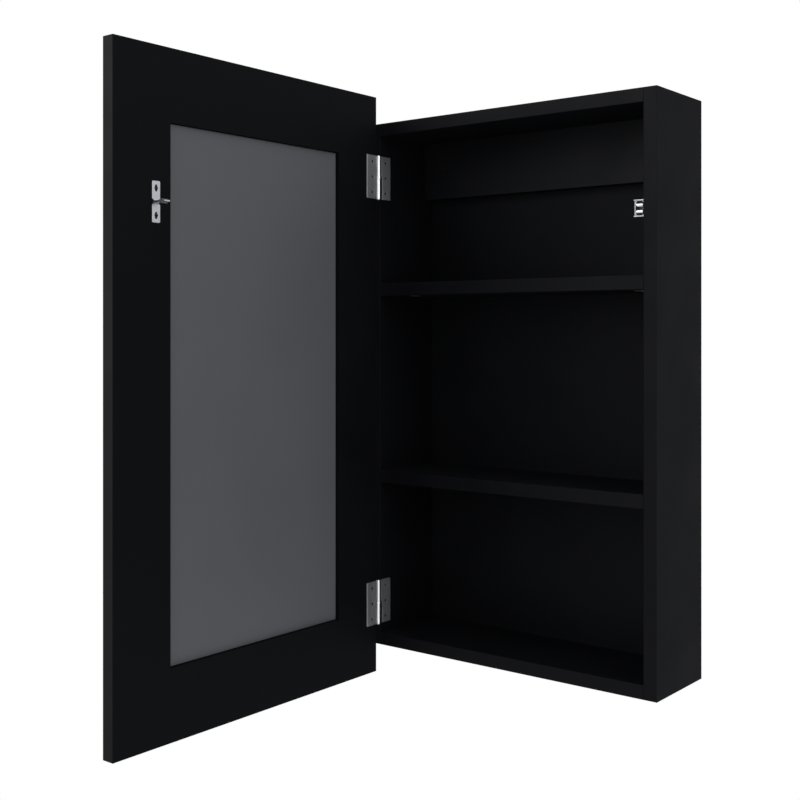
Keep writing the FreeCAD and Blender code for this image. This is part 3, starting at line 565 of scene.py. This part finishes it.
def stamped_plate(outlines, thickness, arris):
    """Mesh of a flat plate from closed outlines, the first its rim and the rest its holes."""
    curve = bpy.data.curves.new("stamping", "CURVE")
    curve.dimensions = "2D"
    curve.fill_mode = "BOTH"
    curve.extrude = thickness / 2 - arris
    curve.bevel_depth = arris
    curve.bevel_resolution = 2
    curve.offset = -arris
    for points in outlines:
        spline = curve.splines.new("POLY")
        spline.points.add(len(points) - 1)
        for target, point in zip(spline.points, points):
            target.co = (point[0], point[1], 0.0, 1.0)
        spline.use_cyclic_u = True
    blank = bpy.data.objects.new("stamping", curve)
    bpy.context.collection.objects.link(blank)
    mesh = bpy.data.meshes.new_from_object(blank.evaluated_get(bpy.context.evaluated_depsgraph_get()))
    bpy.data.objects.remove(blank)
    bpy.data.curves.remove(curve)
    return mesh


def add_plate(bm, mesh, origin):
    """Add a plate, whose flat axes become Y and Z, with its middle at a point."""
    upright = Matrix(((0, 0, 1, 0), (1, 0, 0, 0), (0, 1, 0, 0), (0, 0, 0, 1)))
    mesh.transform(Matrix.Translation(origin) @ upright)
    bm.from_mesh(mesh)
    bpy.data.meshes.remove(mesh)
    bmesh.ops.remove_doubles(bm, verts=bm.verts[:], dist=WELD)


nickel = metal_finish(
    "nickel_plate", line_scale=(500.0, 500.0, 2600.0), dark=(0.57, 0.58, 0.61), light=(0.69, 0.7, 0.73),
    smooth=0.4, rough=0.52,
)
polished_nickel = metal_finish(
    "polished_nickel", line_scale=(500.0, 500.0, 2600.0), dark=(0.8, 0.805, 0.815), light=(0.9, 0.905, 0.915),
    smooth=0.12, rough=0.22,
)
HINGE_SCREWS = {"cabinet": [], "door": []}
for position in ("upper", "lower"):
    low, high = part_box(f"{position}_hinge_frame_leaf")
    level = (low[2] + high[2]) / 2
    half = (high[2] - low[2]) / 2
    pin_low, pin_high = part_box(f"{position}_hinge_pin")
    axis_x = (pin_low[0] + pin_high[0]) / 2
    axis_y = (pin_low[1] + pin_high[1]) / 2
    for side, body, kind in ((1, "cabinet", "frame"), (-1, "door", "door")):
        far = side * half
        edge = side * LEAF_WIDTH
        notch = side * (KNUCKLE_RADIUS + LEAF_NOTCH[kind])
        meet = side * KNUCKLE_GAP / 2
        rim = [Vector((0, far))]
        rim += round_corner((0, far), (edge, far), (edge, -far), LEAF_CORNER)
        rim += round_corner((edge, far), (edge, -far), (notch, -far), LEAF_CORNER)
        rim += [Vector(point) for point in ((notch, -far), (notch, meet), (0, meet))]
        outlines = [rim]
        for step in (-1, 0, 1):
            spot = (side * LEAF_SCREW_REACH, step * LEAF_SCREW_PITCH)
            outlines.append(circle_points(spot, SCREW_HEAD_HOLE))
            HINGE_SCREWS[body].append((axis_x + LEAF_THICKNESS / 2, axis_y + spot[0], level + spot[1]))
        bm = bmesh.new()
        add_plate(bm, stamped_plate(outlines, LEAF_THICKNESS, LEAF_ARRIS), (axis_x, axis_y, level))
        start = level + meet if side > 0 else level - half
        tube = rounded_tube(half - KNUCKLE_GAP / 2, KNUCKLE_RADIUS, PIN_RADIUS + PIN_CLEARANCE, KNUCKLE_RIM)
        barrel = turned(bm, (axis_x, axis_y, start), (0, 0, 1), tube)
        for face in barrel:
            face.material_index = 1
        leaf = new_piece(f"{position}_{kind}_leaf", bm, nickel, polished_nickel)
        stands_for(leaf, body, "hinge_steel", f"{position}_hinge_{kind}_leaf")
    head = (pin_high[0] - pin_low[0]) / 2
    dome = [(PIN_HEAD_HEIGHT * rise, head * spread) for rise, spread in PIN_DOME]
    length = pin_high[2] - pin_low[2]
    middle = level - pin_low[2]
    shaft = [
        (PIN_HEAD_HEIGHT, PIN_RADIUS),
        (middle - WASHER_HALF, PIN_RADIUS),
        (middle - WASHER_HALF, WASHER_RADIUS),
        (middle + WASHER_HALF, WASHER_RADIUS),
        (middle + WASHER_HALF, PIN_RADIUS),
        (length - PIN_HEAD_HEIGHT, PIN_RADIUS),
    ]
    bm = bmesh.new()
    turned(bm, (axis_x, axis_y, pin_low[2]), (0, 0, 1),
           dome + shaft + [(length - along, radius) for along, radius in reversed(dome)])
    pin = new_piece(f"{position}_riveted_pin", bm, polished_nickel)
    stands_for(pin, "cabinet", "bright_steel", f"{position}_hinge_pin")

# Roller catch
# A pressed steel housing screwed to the right side panel, with two steel rollers on pins that
# slide outwards in its slots against bent strip springs.

pressed_steel = metal_finish(
    "pressed_steel", line_scale=(900.0, 900.0, 900.0), dark=(0.26, 0.264, 0.276), light=(0.36, 0.365, 0.38),
    smooth=0.3, rough=0.44,
)
dress("catch_housing", pressed_steel)
spring_steel = metal_finish(
    "spring_steel", line_scale=(900.0, 900.0, 900.0), dark=(0.34, 0.35, 0.38), light=(0.5, 0.51, 0.54),
    smooth=0.2, rough=0.36,
)
SPRING_STRIP = 0.0003
SPRING_BEND = 0.0023
SPRING_CROWN = 0.0026
SPRING_ROUND = 0.0005
SPRING_SEAT_SHARE = 0.6
ROLLER_RIM = 0.0007


def bent_strip(bm, path, thickness, half_width, place):
    """A flat strip that follows a path in X and Z, its width along Y."""
    rows = []
    for here, spot in enumerate(path):
        along = (path[min(here + 1, len(path) - 1)] - path[max(here - 1, 0)]).normalized()
        across = Vector((-along.y, along.x)) * (thickness / 2)
        rows.append([bm.verts.new(Vector(place) + Vector((point.x, width, point.y)))
                     for point, width in ((spot + across, -half_width), (spot + across, half_width),
                                          (spot - across, half_width), (spot - across, -half_width))])
    for row, following in zip(rows, rows[1:]):
        for here in range(4):
            there = (here + 1) % 4
            bm.faces.new([row[here], row[there], following[there], following[here]])
    bm.faces.new(rows[0])
    bm.faces.new(rows[-1])


for position, side in (("upper", 1), ("lower", -1)):
    dress(f"{position}_roller_pin", bright_zinc)
    low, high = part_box(f"{position}_catch_spring")
    middle = (low + high) / 2
    crown = high[2] if side > 0 else low[2]
    foot = low[2] if side > 0 else high[2]
    reach = (high[0] - low[0] - SPRING_STRIP) / 2
    top = -side * SPRING_STRIP * SPRING_SEAT_SHARE
    bends = [Vector(point) for point in (
        (reach, foot - crown), (reach, foot - crown + side * SPRING_BEND), (SPRING_CROWN, top),
        (-SPRING_CROWN, top), (-reach, foot - crown + side * SPRING_BEND), (-reach, foot - crown),
    )]
    path = bends[:1]
    for here in range(1, len(bends) - 1):
        path += round_corner(bends[here - 1], bends[here], bends[here + 1], SPRING_ROUND)
    path += bends[-1:]
    anchor = (middle[0], middle[1], crown)
    bm = bmesh.new()
    bent_strip(bm, path, SPRING_STRIP, (high[1] - low[1]) / 2, anchor)
    spring = new_piece(f"{position}_bent_spring", bm, spring_steel)
    stands_for(spring, "cabinet", "spring_steel", f"{position}_catch_spring")
    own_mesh(spring)
    low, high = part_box(f"{position}_catch_roller")
    centre = (low + high) / 2
    radius = (high[2] - low[2]) / 2
    pin_low, pin_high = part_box(f"{position}_roller_pin")
    bore = (pin_high[2] - pin_low[2]) / 2 + PIN_CLEARANCE
    bm = bmesh.new()
    tube = rounded_tube(high[0] - low[0], radius, bore, ROLLER_RIM)
    turned(bm, (low[0], centre[1], centre[2]), (1, 0, 0), tube)
    roller = new_piece(f"{position}_turned_roller", bm, bright_zinc)
    stands_for(roller, f"{position}_roller", "bright_steel", f"{position}_catch_roller")

# Striker
# A strip of plated steel folded double: two slotted tabs on the door's back, and a spear with a
# swollen end that snaps between the catch's rollers.

STRIKE_THICKNESS = 0.0012
STRIKE_ARRIS = 0.00015
TAB_END_CORNER = 0.0012
TAB_FOLD_CORNER = 0.0005
STRIKE_FOLD = 0.0026
FOLD_REACH = 0.0014
FOLD_DROP = 0.0016
FOLD_ANGLES = (20, 40, 60, 80)
FOLD_HOLLOW = 0.0005
FOLD_HOLLOW_HALF = 0.0007
SPEAR_ROOT_INSET = 0.0001
SPEAR_WIDTH = 0.007
SPEAR_NECK = 0.001
SPEAR_BULB = 0.0023
SPEAR_FLARE = 1.08
SPEAR_TIP = 0.0006
TIP_SHOULDER = 1.4
TIP_CHAMFER = 0.0003
BULB_FROM_TIP = 0.0052
BULB_HALF = 0.0018
BULB_STEPS = 8
BULB_ARC_START = 0.12
FLARE_FROM_BULB = 0.0024
NECK_FROM_BULB = 0.0034
SLOT_INSET = 0.007
SLOT_HALF_LENGTH = 0.0035
SLOT_RADIUS = 0.00145
SLOT_STEPS = 24
STRIKE_SCREW_RISE = 0.0001

low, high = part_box("striker")
strike_y = (low[1] + high[1]) / 2
strike_z = (low[2] + high[2]) / 2
width = high[1] - low[1]
tall = high[2] - low[2]
bm = bmesh.new()
STRIKE_SCREWS = []
for side in (1, -1):
    first = side * STRIKE_FOLD
    last = side * tall / 2
    corners = [(-width / 2, first), (width / 2, first), (width / 2, last), (-width / 2, last)]
    rim = []
    for here in range(4):
        radius = TAB_END_CORNER if here in (2, 3) else TAB_FOLD_CORNER
        rim += round_corner(corners[here - 1], corners[here], corners[(here + 1) % 4], radius)
    middle = side * (tall / 2 - SLOT_INSET)
    straight = SLOT_HALF_LENGTH - SLOT_RADIUS
    slot = []
    for step in range(SLOT_STEPS):
        angle = 2 * math.pi * (step + 0.5) / SLOT_STEPS
        shift = straight if math.sin(angle) > 0 else -straight
        slot.append(Vector((SLOT_RADIUS * math.cos(angle), middle + shift + SLOT_RADIUS * math.sin(angle))))
    add_plate(bm, stamped_plate([rim, slot], STRIKE_THICKNESS, STRIKE_ARRIS),
              (low[0] + STRIKE_THICKNESS / 2, strike_y, strike_z))
    STRIKE_SCREWS.append((low[0] + STRIKE_THICKNESS + STRIKE_SCREW_RISE, strike_y, strike_z + middle))

reach = high[0] - low[0]
bulb = reach - BULB_FROM_TIP
root = STRIKE_FOLD + STRIKE_THICKNESS
root_front = STRIKE_THICKNESS - SPEAR_ROOT_INSET
upper = [(root_front, root), (root_front, STRIKE_FOLD)]
for angle in FOLD_ANGLES:
    turn = math.radians(angle)
    along = STRIKE_THICKNESS + FOLD_REACH * (1 - math.cos(turn))
    upper.append((along, STRIKE_FOLD - FOLD_DROP * math.sin(turn)))
upper += [(bulb - NECK_FROM_BULB, SPEAR_NECK), (bulb - FLARE_FROM_BULB, SPEAR_NECK * SPEAR_FLARE)]
for step in range(BULB_STEPS + 1):
    part = step / BULB_STEPS
    swell = math.sin(math.pi * (BULB_ARC_START + (1 - 2 * BULB_ARC_START) * part))
    along = bulb - BULB_HALF + 2 * BULB_HALF * part
    upper.append((along, SPEAR_NECK + (SPEAR_BULB - SPEAR_NECK) * swell))
upper += [(reach - TIP_CHAMFER, SPEAR_TIP * TIP_SHOULDER), (reach, SPEAR_TIP)]
profile = upper + [(along, -rise) for along, rise in reversed(upper)]
profile += [
    (SPEAR_ROOT_INSET, -root),
    (SPEAR_ROOT_INSET, -STRIKE_FOLD),
    (FOLD_HOLLOW, -FOLD_HOLLOW_HALF),
    (FOLD_HOLLOW, FOLD_HOLLOW_HALF),
    (SPEAR_ROOT_INSET, STRIKE_FOLD),
    (SPEAR_ROOT_INSET, root),
]
sides = []
for edge in (-SPEAR_WIDTH / 2, SPEAR_WIDTH / 2):
    outline = [(low[0] + along, strike_y + edge, strike_z + rise) for along, rise in profile]
    sides.append([bm.verts.new(spot) for spot in outline])
bm.faces.new(sides[0])
bm.faces.new(list(reversed(sides[1])))
for here in range(len(profile)):
    there = (here + 1) % len(profile)
    bm.faces.new([sides[0][here], sides[0][there], sides[1][there], sides[1][here]])
strike_plate = metal_finish(
    "zinc_striker", line_scale=(500.0, 500.0, 1800.0), dark=(0.475, 0.48, 0.51), light=(0.6, 0.605, 0.64),
    smooth=0.3, rough=0.45,
)
striker = new_piece("folded_striker", bm, strike_plate)
stands_for(striker, "door", "hinge_steel", "striker")

# Wood screws
# Countersunk screws with a cross recess, zinc plated in the hinge leaves and the catch's flange and
# blackened in the striker's slots, turned to different angles as they were driven.

SCREW_SIZES = {
    "Head Diameter": 0.0054,
    "Shank Diameter": 0.0028,
    "Screw Length": 0.012,
    "Tip Length": 0.003,
    "Recess Length": 0.0034,
    "Recess Width": 0.0012,
    "Recess Depth": 0.00085,
}
CORE_SHARE = 0.72
TIP_BASE_SHARE = 0.97
TIP_POINT_SHARE = 0.1
RECESS_REACH = 0.52
RECESS_RIM = 0.00002
RECESS_FLOOR = 1.02
THREAD_TURNS = 6.0
THREAD_STEPS = 14
THREAD_SIDES = 4
SCREW_SIDES = 32
SCREW_SEED = 7


def wood_screw_set(recess_painted_shade):
    """Geometry nodes: one screw at every vertex, head at the vertex, point along its turn; the faces of its
    cross recess take a near-black material as painted shade.
    """
    tree = bpy.data.node_groups.new("wood_screw_set", "GeometryNodeTree")
    tree.interface.new_socket("Places", in_out="INPUT", socket_type="NodeSocketGeometry")
    for label, value in SCREW_SIZES.items():
        tree.interface.new_socket(label, in_out="INPUT", socket_type="NodeSocketFloat").default_value = value
    tree.interface.new_socket("Turn", in_out="INPUT", socket_type="NodeSocketVector")
    tree.interface.new_socket("Finish", in_out="INPUT", socket_type="NodeSocketMaterial")
    tree.interface.new_socket("Seed", in_out="INPUT", socket_type="NodeSocketInt").default_value = SCREW_SEED
    tree.interface.new_socket("Screws", in_out="OUTPUT", socket_type="NodeSocketGeometry")
    given = add_node(tree, "NodeGroupInput")
    result = add_node(tree, "NodeGroupOutput")
    link = tree.links.new

    def reckon(operation, first, second):
        node = add_node(tree, "ShaderNodeMath", operation=operation)
        for socket, value in zip(node.inputs, (first, second)):
            if isinstance(value, (int, float)):
                socket.default_value = value
            else:
                link(value, socket)
        return node.outputs["Value"]

    def point(x, y, z):
        node = add_node(tree, "ShaderNodeCombineXYZ")
        for label, value in zip("XYZ", (x, y, z)):
            if isinstance(value, (int, float)):
                node.inputs[label].default_value = value
            else:
                link(value, node.inputs[label])
        return node.outputs["Vector"]

    def moved(geometry, z):
        node = add_node(tree, "GeometryNodeTransform")
        link(geometry, node.inputs["Geometry"])
        link(point(0.0, 0.0, z), node.inputs["Translation"])
        return node.outputs["Geometry"]

    def cone(low_radius, high_radius, depth):
        node = add_node(tree, "GeometryNodeMeshCone")
        node.inputs["Vertices"].default_value = SCREW_SIDES
        link(low_radius, node.inputs["Radius Bottom"])
        link(high_radius, node.inputs["Radius Top"])
        link(depth, node.inputs["Depth"])
        return node.outputs["Mesh"]

    def bar(x, y, z):
        node = add_node(tree, "GeometryNodeMeshCube")
        link(point(x, y, z), node.inputs["Size"])
        return node.outputs["Mesh"]

    head_radius = reckon("MULTIPLY", given.outputs["Head Diameter"], 0.5)
    shank_radius = reckon("MULTIPLY", given.outputs["Shank Diameter"], 0.5)
    core_radius = reckon("MULTIPLY", shank_radius, CORE_SHARE)
    crest_radius = reckon("SUBTRACT", shank_radius, core_radius)
    sink = reckon("SUBTRACT", head_radius, shank_radius)
    tip_start = reckon("SUBTRACT", given.outputs["Screw Length"], given.outputs["Tip Length"])
    shank_length = reckon("SUBTRACT", tip_start, sink)
    recess_height = reckon("MULTIPLY", given.outputs["Recess Depth"], 2.0)
    recess = add_node(tree, "GeometryNodeJoinGeometry")
    link(bar(given.outputs["Recess Length"], given.outputs["Recess Width"], recess_height), recess.inputs[0])
    link(bar(given.outputs["Recess Width"], given.outputs["Recess Length"], recess_height), recess.inputs[0])
    head = add_node(tree, "GeometryNodeMeshBoolean", operation="DIFFERENCE", solver="EXACT")
    link(cone(head_radius, shank_radius, sink), head.inputs["Mesh 1"])
    link(recess.outputs["Geometry"], head.inputs["Mesh 2"])
    head.inputs["Self Intersection"].default_value = True
    spot = add_node(tree, "ShaderNodeSeparateXYZ")
    link(add_node(tree, "GeometryNodeInputPosition").outputs["Position"], spot.inputs["Vector"])
    off_axis = reckon("SQRT", reckon("ADD", reckon("MULTIPLY", spot.outputs["X"], spot.outputs["X"]),
                                     reckon("MULTIPLY", spot.outputs["Y"], spot.outputs["Y"])), 0.0)
    inside = reckon("LESS_THAN", off_axis, reckon("MULTIPLY", given.outputs["Recess Length"], RECESS_REACH))
    sunk = reckon("GREATER_THAN", spot.outputs["Z"], RECESS_RIM)
    floor_depth = reckon("MULTIPLY", given.outputs["Recess Depth"], RECESS_FLOOR)
    shallow = reckon("LESS_THAN", spot.outputs["Z"], floor_depth)
    # Faces inside the cross recess, marked for the near-black painted shade put on them below.
    in_recess = add_node(tree, "GeometryNodeStoreNamedAttribute", data_type="BOOLEAN", domain="FACE")
    in_recess.inputs["Name"].default_value = "recess"
    link(head.outputs["Mesh"], in_recess.inputs["Geometry"])
    link(reckon("MULTIPLY", inside, reckon("MULTIPLY", sunk, shallow)), in_recess.inputs["Value"])
    thread_path = add_node(tree, "GeometryNodeCurveSpiral")
    thread_path.inputs["Resolution"].default_value = THREAD_STEPS
    thread_path.inputs["Rotations"].default_value = THREAD_TURNS
    link(core_radius, thread_path.inputs["Start Radius"])
    link(core_radius, thread_path.inputs["End Radius"])
    link(reckon("SUBTRACT", shank_length, crest_radius), thread_path.inputs["Height"])
    crest = add_node(tree, "GeometryNodeCurvePrimitiveCircle")
    crest.inputs["Resolution"].default_value = THREAD_SIDES
    link(crest_radius, crest.inputs["Radius"])
    thread = add_node(tree, "GeometryNodeCurveToMesh")
    thread.inputs["Fill Caps"].default_value = True
    link(thread_path.outputs["Curve"], thread.inputs["Curve"])
    link(crest.outputs["Curve"], thread.inputs["Profile Curve"])
    screw = add_node(tree, "GeometryNodeJoinGeometry")
    link(in_recess.outputs["Geometry"], screw.inputs[0])
    link(moved(cone(core_radius, core_radius, shank_length), sink), screw.inputs[0])
    tip_base = reckon("MULTIPLY", core_radius, TIP_BASE_SHARE)
    tip_point = reckon("MULTIPLY", core_radius, TIP_POINT_SHARE)
    link(moved(cone(tip_base, tip_point, given.outputs["Tip Length"]), tip_start), screw.inputs[0])
    link(moved(thread.outputs["Mesh"], reckon("ADD", sink, crest_radius)), screw.inputs[0])
    angle = add_node(tree, "FunctionNodeRandomValue", data_type="FLOAT")
    angle.inputs[3].default_value = math.pi / 2
    link(given.outputs["Seed"], angle.inputs["Seed"])
    set_down = add_node(tree, "GeometryNodeInstanceOnPoints")
    link(given.outputs["Places"], set_down.inputs["Points"])
    link(screw.outputs["Geometry"], set_down.inputs["Instance"])
    link(given.outputs["Turn"], set_down.inputs["Rotation"])
    driven = add_node(tree, "GeometryNodeRotateInstances")
    link(set_down.outputs["Instances"], driven.inputs["Instances"])
    link(point(0.0, 0.0, angle.outputs[1]), driven.inputs["Rotation"])
    real = add_node(tree, "GeometryNodeRealizeInstances")
    link(driven.outputs["Instances"], real.inputs["Geometry"])
    plated = add_node(tree, "GeometryNodeSetMaterial")
    link(given.outputs["Finish"], plated.inputs["Material"])
    link(real.outputs["Geometry"], plated.inputs["Geometry"])
    which = add_node(tree, "GeometryNodeInputNamedAttribute", data_type="BOOLEAN")
    which.inputs["Name"].default_value = "recess"
    # Painted shade: the recess faces get a near-black material so the cross recess reads dark.
    recess_shaded_dark = add_node(tree, "GeometryNodeSetMaterial")
    recess_shaded_dark.inputs["Material"].default_value = recess_painted_shade
    link(plated.outputs["Geometry"], recess_shaded_dark.inputs["Geometry"])
    link(which.outputs["Attribute"], recess_shaded_dark.inputs["Selection"])
    link(recess_shaded_dark.outputs["Geometry"], result.inputs["Screws"])
    return tree


screw_zinc = metal_finish(
    "screw_zinc", line_scale=(1500.0, 1500.0, 1500.0), dark=(0.6, 0.61, 0.64), light=(0.76, 0.77, 0.8),
    smooth=0.4, rough=0.52,
)
# Near-black steel: the striker screws' own black finish, and also the painted shade inside every screw's
# cross recess.
blackened_and_recess_shade = metal_finish(
    "blackened_steel_and_recess_shade", line_scale=(1500.0, 1500.0, 1500.0), dark=(0.02, 0.021, 0.024),
    light=(0.04, 0.042, 0.046), smooth=0.4, rough=0.6,
)
SCREW_TREE = wood_screw_set(blackened_and_recess_shade)
low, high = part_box("catch_screws")
catch_y = (low[1] + high[1]) / 2
HEAD_INSET = 0.0027
CATCH_SCREWS = [(low[0], catch_y, low[2] + HEAD_INSET), (low[0], catch_y, high[2] - HEAD_INSET)]
INTO_LEFT = (0.0, -math.pi / 2, 0.0)
INTO_RIGHT = (0.0, math.pi / 2, 0.0)
SMALL_HEAD = 0.0044
FULL_HEAD = SCREW_SIZES["Head Diameter"]
for name, body, node, places, turn, finish, head in (
    ("frame_leaf_screws", "cabinet", "frame_hinge_screws", HINGE_SCREWS["cabinet"], INTO_LEFT, screw_zinc,
     FULL_HEAD),
    ("door_leaf_screws", "door", "door_hinge_screws", HINGE_SCREWS["door"], INTO_LEFT, screw_zinc, FULL_HEAD),
    ("catch_flange_screws", "cabinet", "catch_screws", CATCH_SCREWS, INTO_RIGHT, screw_zinc, FULL_HEAD),
    ("striker_tab_screws", "door", "striker_screws", STRIKE_SCREWS, INTO_LEFT, blackened_and_recess_shade, SMALL_HEAD),
):
    marks = bpy.data.meshes.new(name)
    marks.from_pydata(places, [], [])
    maker = bpy.data.objects.new(name + "_maker", marks)
    bpy.context.collection.objects.link(maker)
    modifier = maker.modifiers.new("screws", "NODES")
    modifier.node_group = SCREW_TREE
    settings = {"Turn": turn, "Finish": finish, "Head Diameter": head}
    for socket in SCREW_TREE.interface.items_tree:
        if socket.name in settings:
            modifier[socket.identifier] = settings[socket.name]
    mesh = bpy.data.meshes.new_from_object(maker.evaluated_get(bpy.context.evaluated_depsgraph_get()))
    bpy.data.objects.remove(maker)
    screws = bpy.data.objects.new(name, mesh)
    bpy.context.collection.objects.link(screws)
    stands_for(screws, body, "screw_steel", node)

# Studio
# A pale floor well below the hung cabinet, white surroundings, one broad soft lamp in front to the
# left and a smaller one from the right.

FLOOR_LEVEL = -1.75
FLOOR_HALF = 2.0
FLOOR_NEAR = 0.5
FLOOR_FAR = 1.6
FLOOR_GLOW = 0.5
DIFFUSE_LIGHT = 0.55
bm = bmesh.new()
placing = Matrix.Translation((0, 0, FLOOR_LEVEL))
bmesh.ops.create_grid(bm, x_segments=1, y_segments=1, size=FLOOR_HALF, matrix=placing)
floor_finish, tree, shader = new_finish("pale_floor")
shader.inputs["Base Color"].default_value = (0.86, 0.86, 0.86, 1.0)
shader.inputs["Roughness"].default_value = 0.9
rays = add_node(tree, "ShaderNodeLightPath")
spot = add_node(tree, "ShaderNodeTexCoord")
flat = add_node(tree, "ShaderNodeVectorMath", operation="MULTIPLY")
flat.inputs[1].default_value = (1.0, 1.0, 0.0)
away = add_node(tree, "ShaderNodeVectorMath", operation="LENGTH")
fade = add_node(tree, "ShaderNodeMapRange", interpolation_type="SMOOTHSTEP")
fade.inputs["From Min"].default_value = FLOOR_NEAR
fade.inputs["From Max"].default_value = FLOOR_FAR
fade.inputs["To Min"].default_value = FLOOR_GLOW
tree.links.new(spot.outputs["Object"], flat.inputs[0])
tree.links.new(flat.outputs["Vector"], away.inputs[0])
tree.links.new(away.outputs["Value"], fade.inputs["Value"])
seen = add_node(tree, "ShaderNodeMath", operation="MULTIPLY")
tree.links.new(fade.outputs["Result"], seen.inputs[1])
lit = add_node(tree, "ShaderNodeEmission")
blend = add_node(tree, "ShaderNodeMixShader")
ground = next(node for node in tree.nodes if node.type == "OUTPUT_MATERIAL")
tree.links.new(rays.outputs["Is Camera Ray"], seen.inputs[0])
tree.links.new(seen.outputs["Value"], blend.inputs["Fac"])
tree.links.new(shader.outputs["BSDF"], blend.inputs[1])
tree.links.new(lit.outputs["Emission"], blend.inputs[2])
tree.links.new(blend.outputs["Shader"], ground.inputs["Surface"])
floor = new_piece("floor", bm, floor_finish)

world = bpy.data.worlds.new("white_studio")
bpy.context.scene.world = world
world.use_nodes = True
tree = world.node_tree
surround = tree.nodes["Background"]
surround.inputs["Color"].default_value = (1.0, 1.0, 1.0, 1.0)
rays = add_node(tree, "ShaderNodeLightPath")
seen = add_node(tree, "ShaderNodeMath", operation="MAXIMUM")
mirrored = add_node(tree, "ShaderNodeMath", operation="MAXIMUM")
strength = add_node(tree, "ShaderNodeMapRange")
strength.inputs["To Min"].default_value = DIFFUSE_LIGHT
strength.inputs["To Max"].default_value = 1.0
tree.links.new(rays.outputs["Is Camera Ray"], seen.inputs[0])
tree.links.new(rays.outputs["Is Glossy Ray"], seen.inputs[1])
tree.links.new(seen.outputs["Value"], mirrored.inputs[0])
tree.links.new(rays.outputs["Is Transmission Ray"], mirrored.inputs[1])
tree.links.new(mirrored.outputs["Value"], strength.inputs["Value"])
tree.links.new(strength.outputs["Result"], surround.inputs["Strength"])

MIDDLE = Vector((0.0, -0.2, -0.25))
for name, place, width, watts in (
    ("front_softbox", (-0.9, -1.9, 0.55), 2.0, 24.0),
    ("right_softbox", (2.4, -0.3, 0.6), 1.4, 13.0),
):
    lamp = bpy.data.lights.new(name, "AREA")
    lamp.shape = "SQUARE"
    lamp.size = width
    lamp.energy = watts
    holder = bpy.data.objects.new(name, lamp)
    holder.location = place
    holder.rotation_euler = (MIDDLE - Vector(place)).to_track_quat("-Z", "Y").to_euler()
    holder.visible_camera = False
    bpy.context.collection.objects.link(holder)

# Camera
# Level, from the front right, at the photograph's distance; shifted to keep the uprights upright.

CAMERA_PLACE = (0.73656, -1.21745, -0.20094)
CAMERA_AZIMUTH = 38.443
CAMERA_LENS = 53.355
CAMERA_SHIFT = -0.08608
camera_data = bpy.data.cameras.new("camera")
camera_data.sensor_width = 36.0
camera_data.lens = CAMERA_LENS
camera_data.shift_y = CAMERA_SHIFT
camera = bpy.data.objects.new("camera", camera_data)
camera.location = CAMERA_PLACE
camera.rotation_euler = (math.pi / 2, 0.0, math.radians(CAMERA_AZIMUTH))
bpy.context.collection.objects.link(camera)
bpy.context.scene.camera = camera
bpy.context.scene.view_settings.view_transform = "Standard"
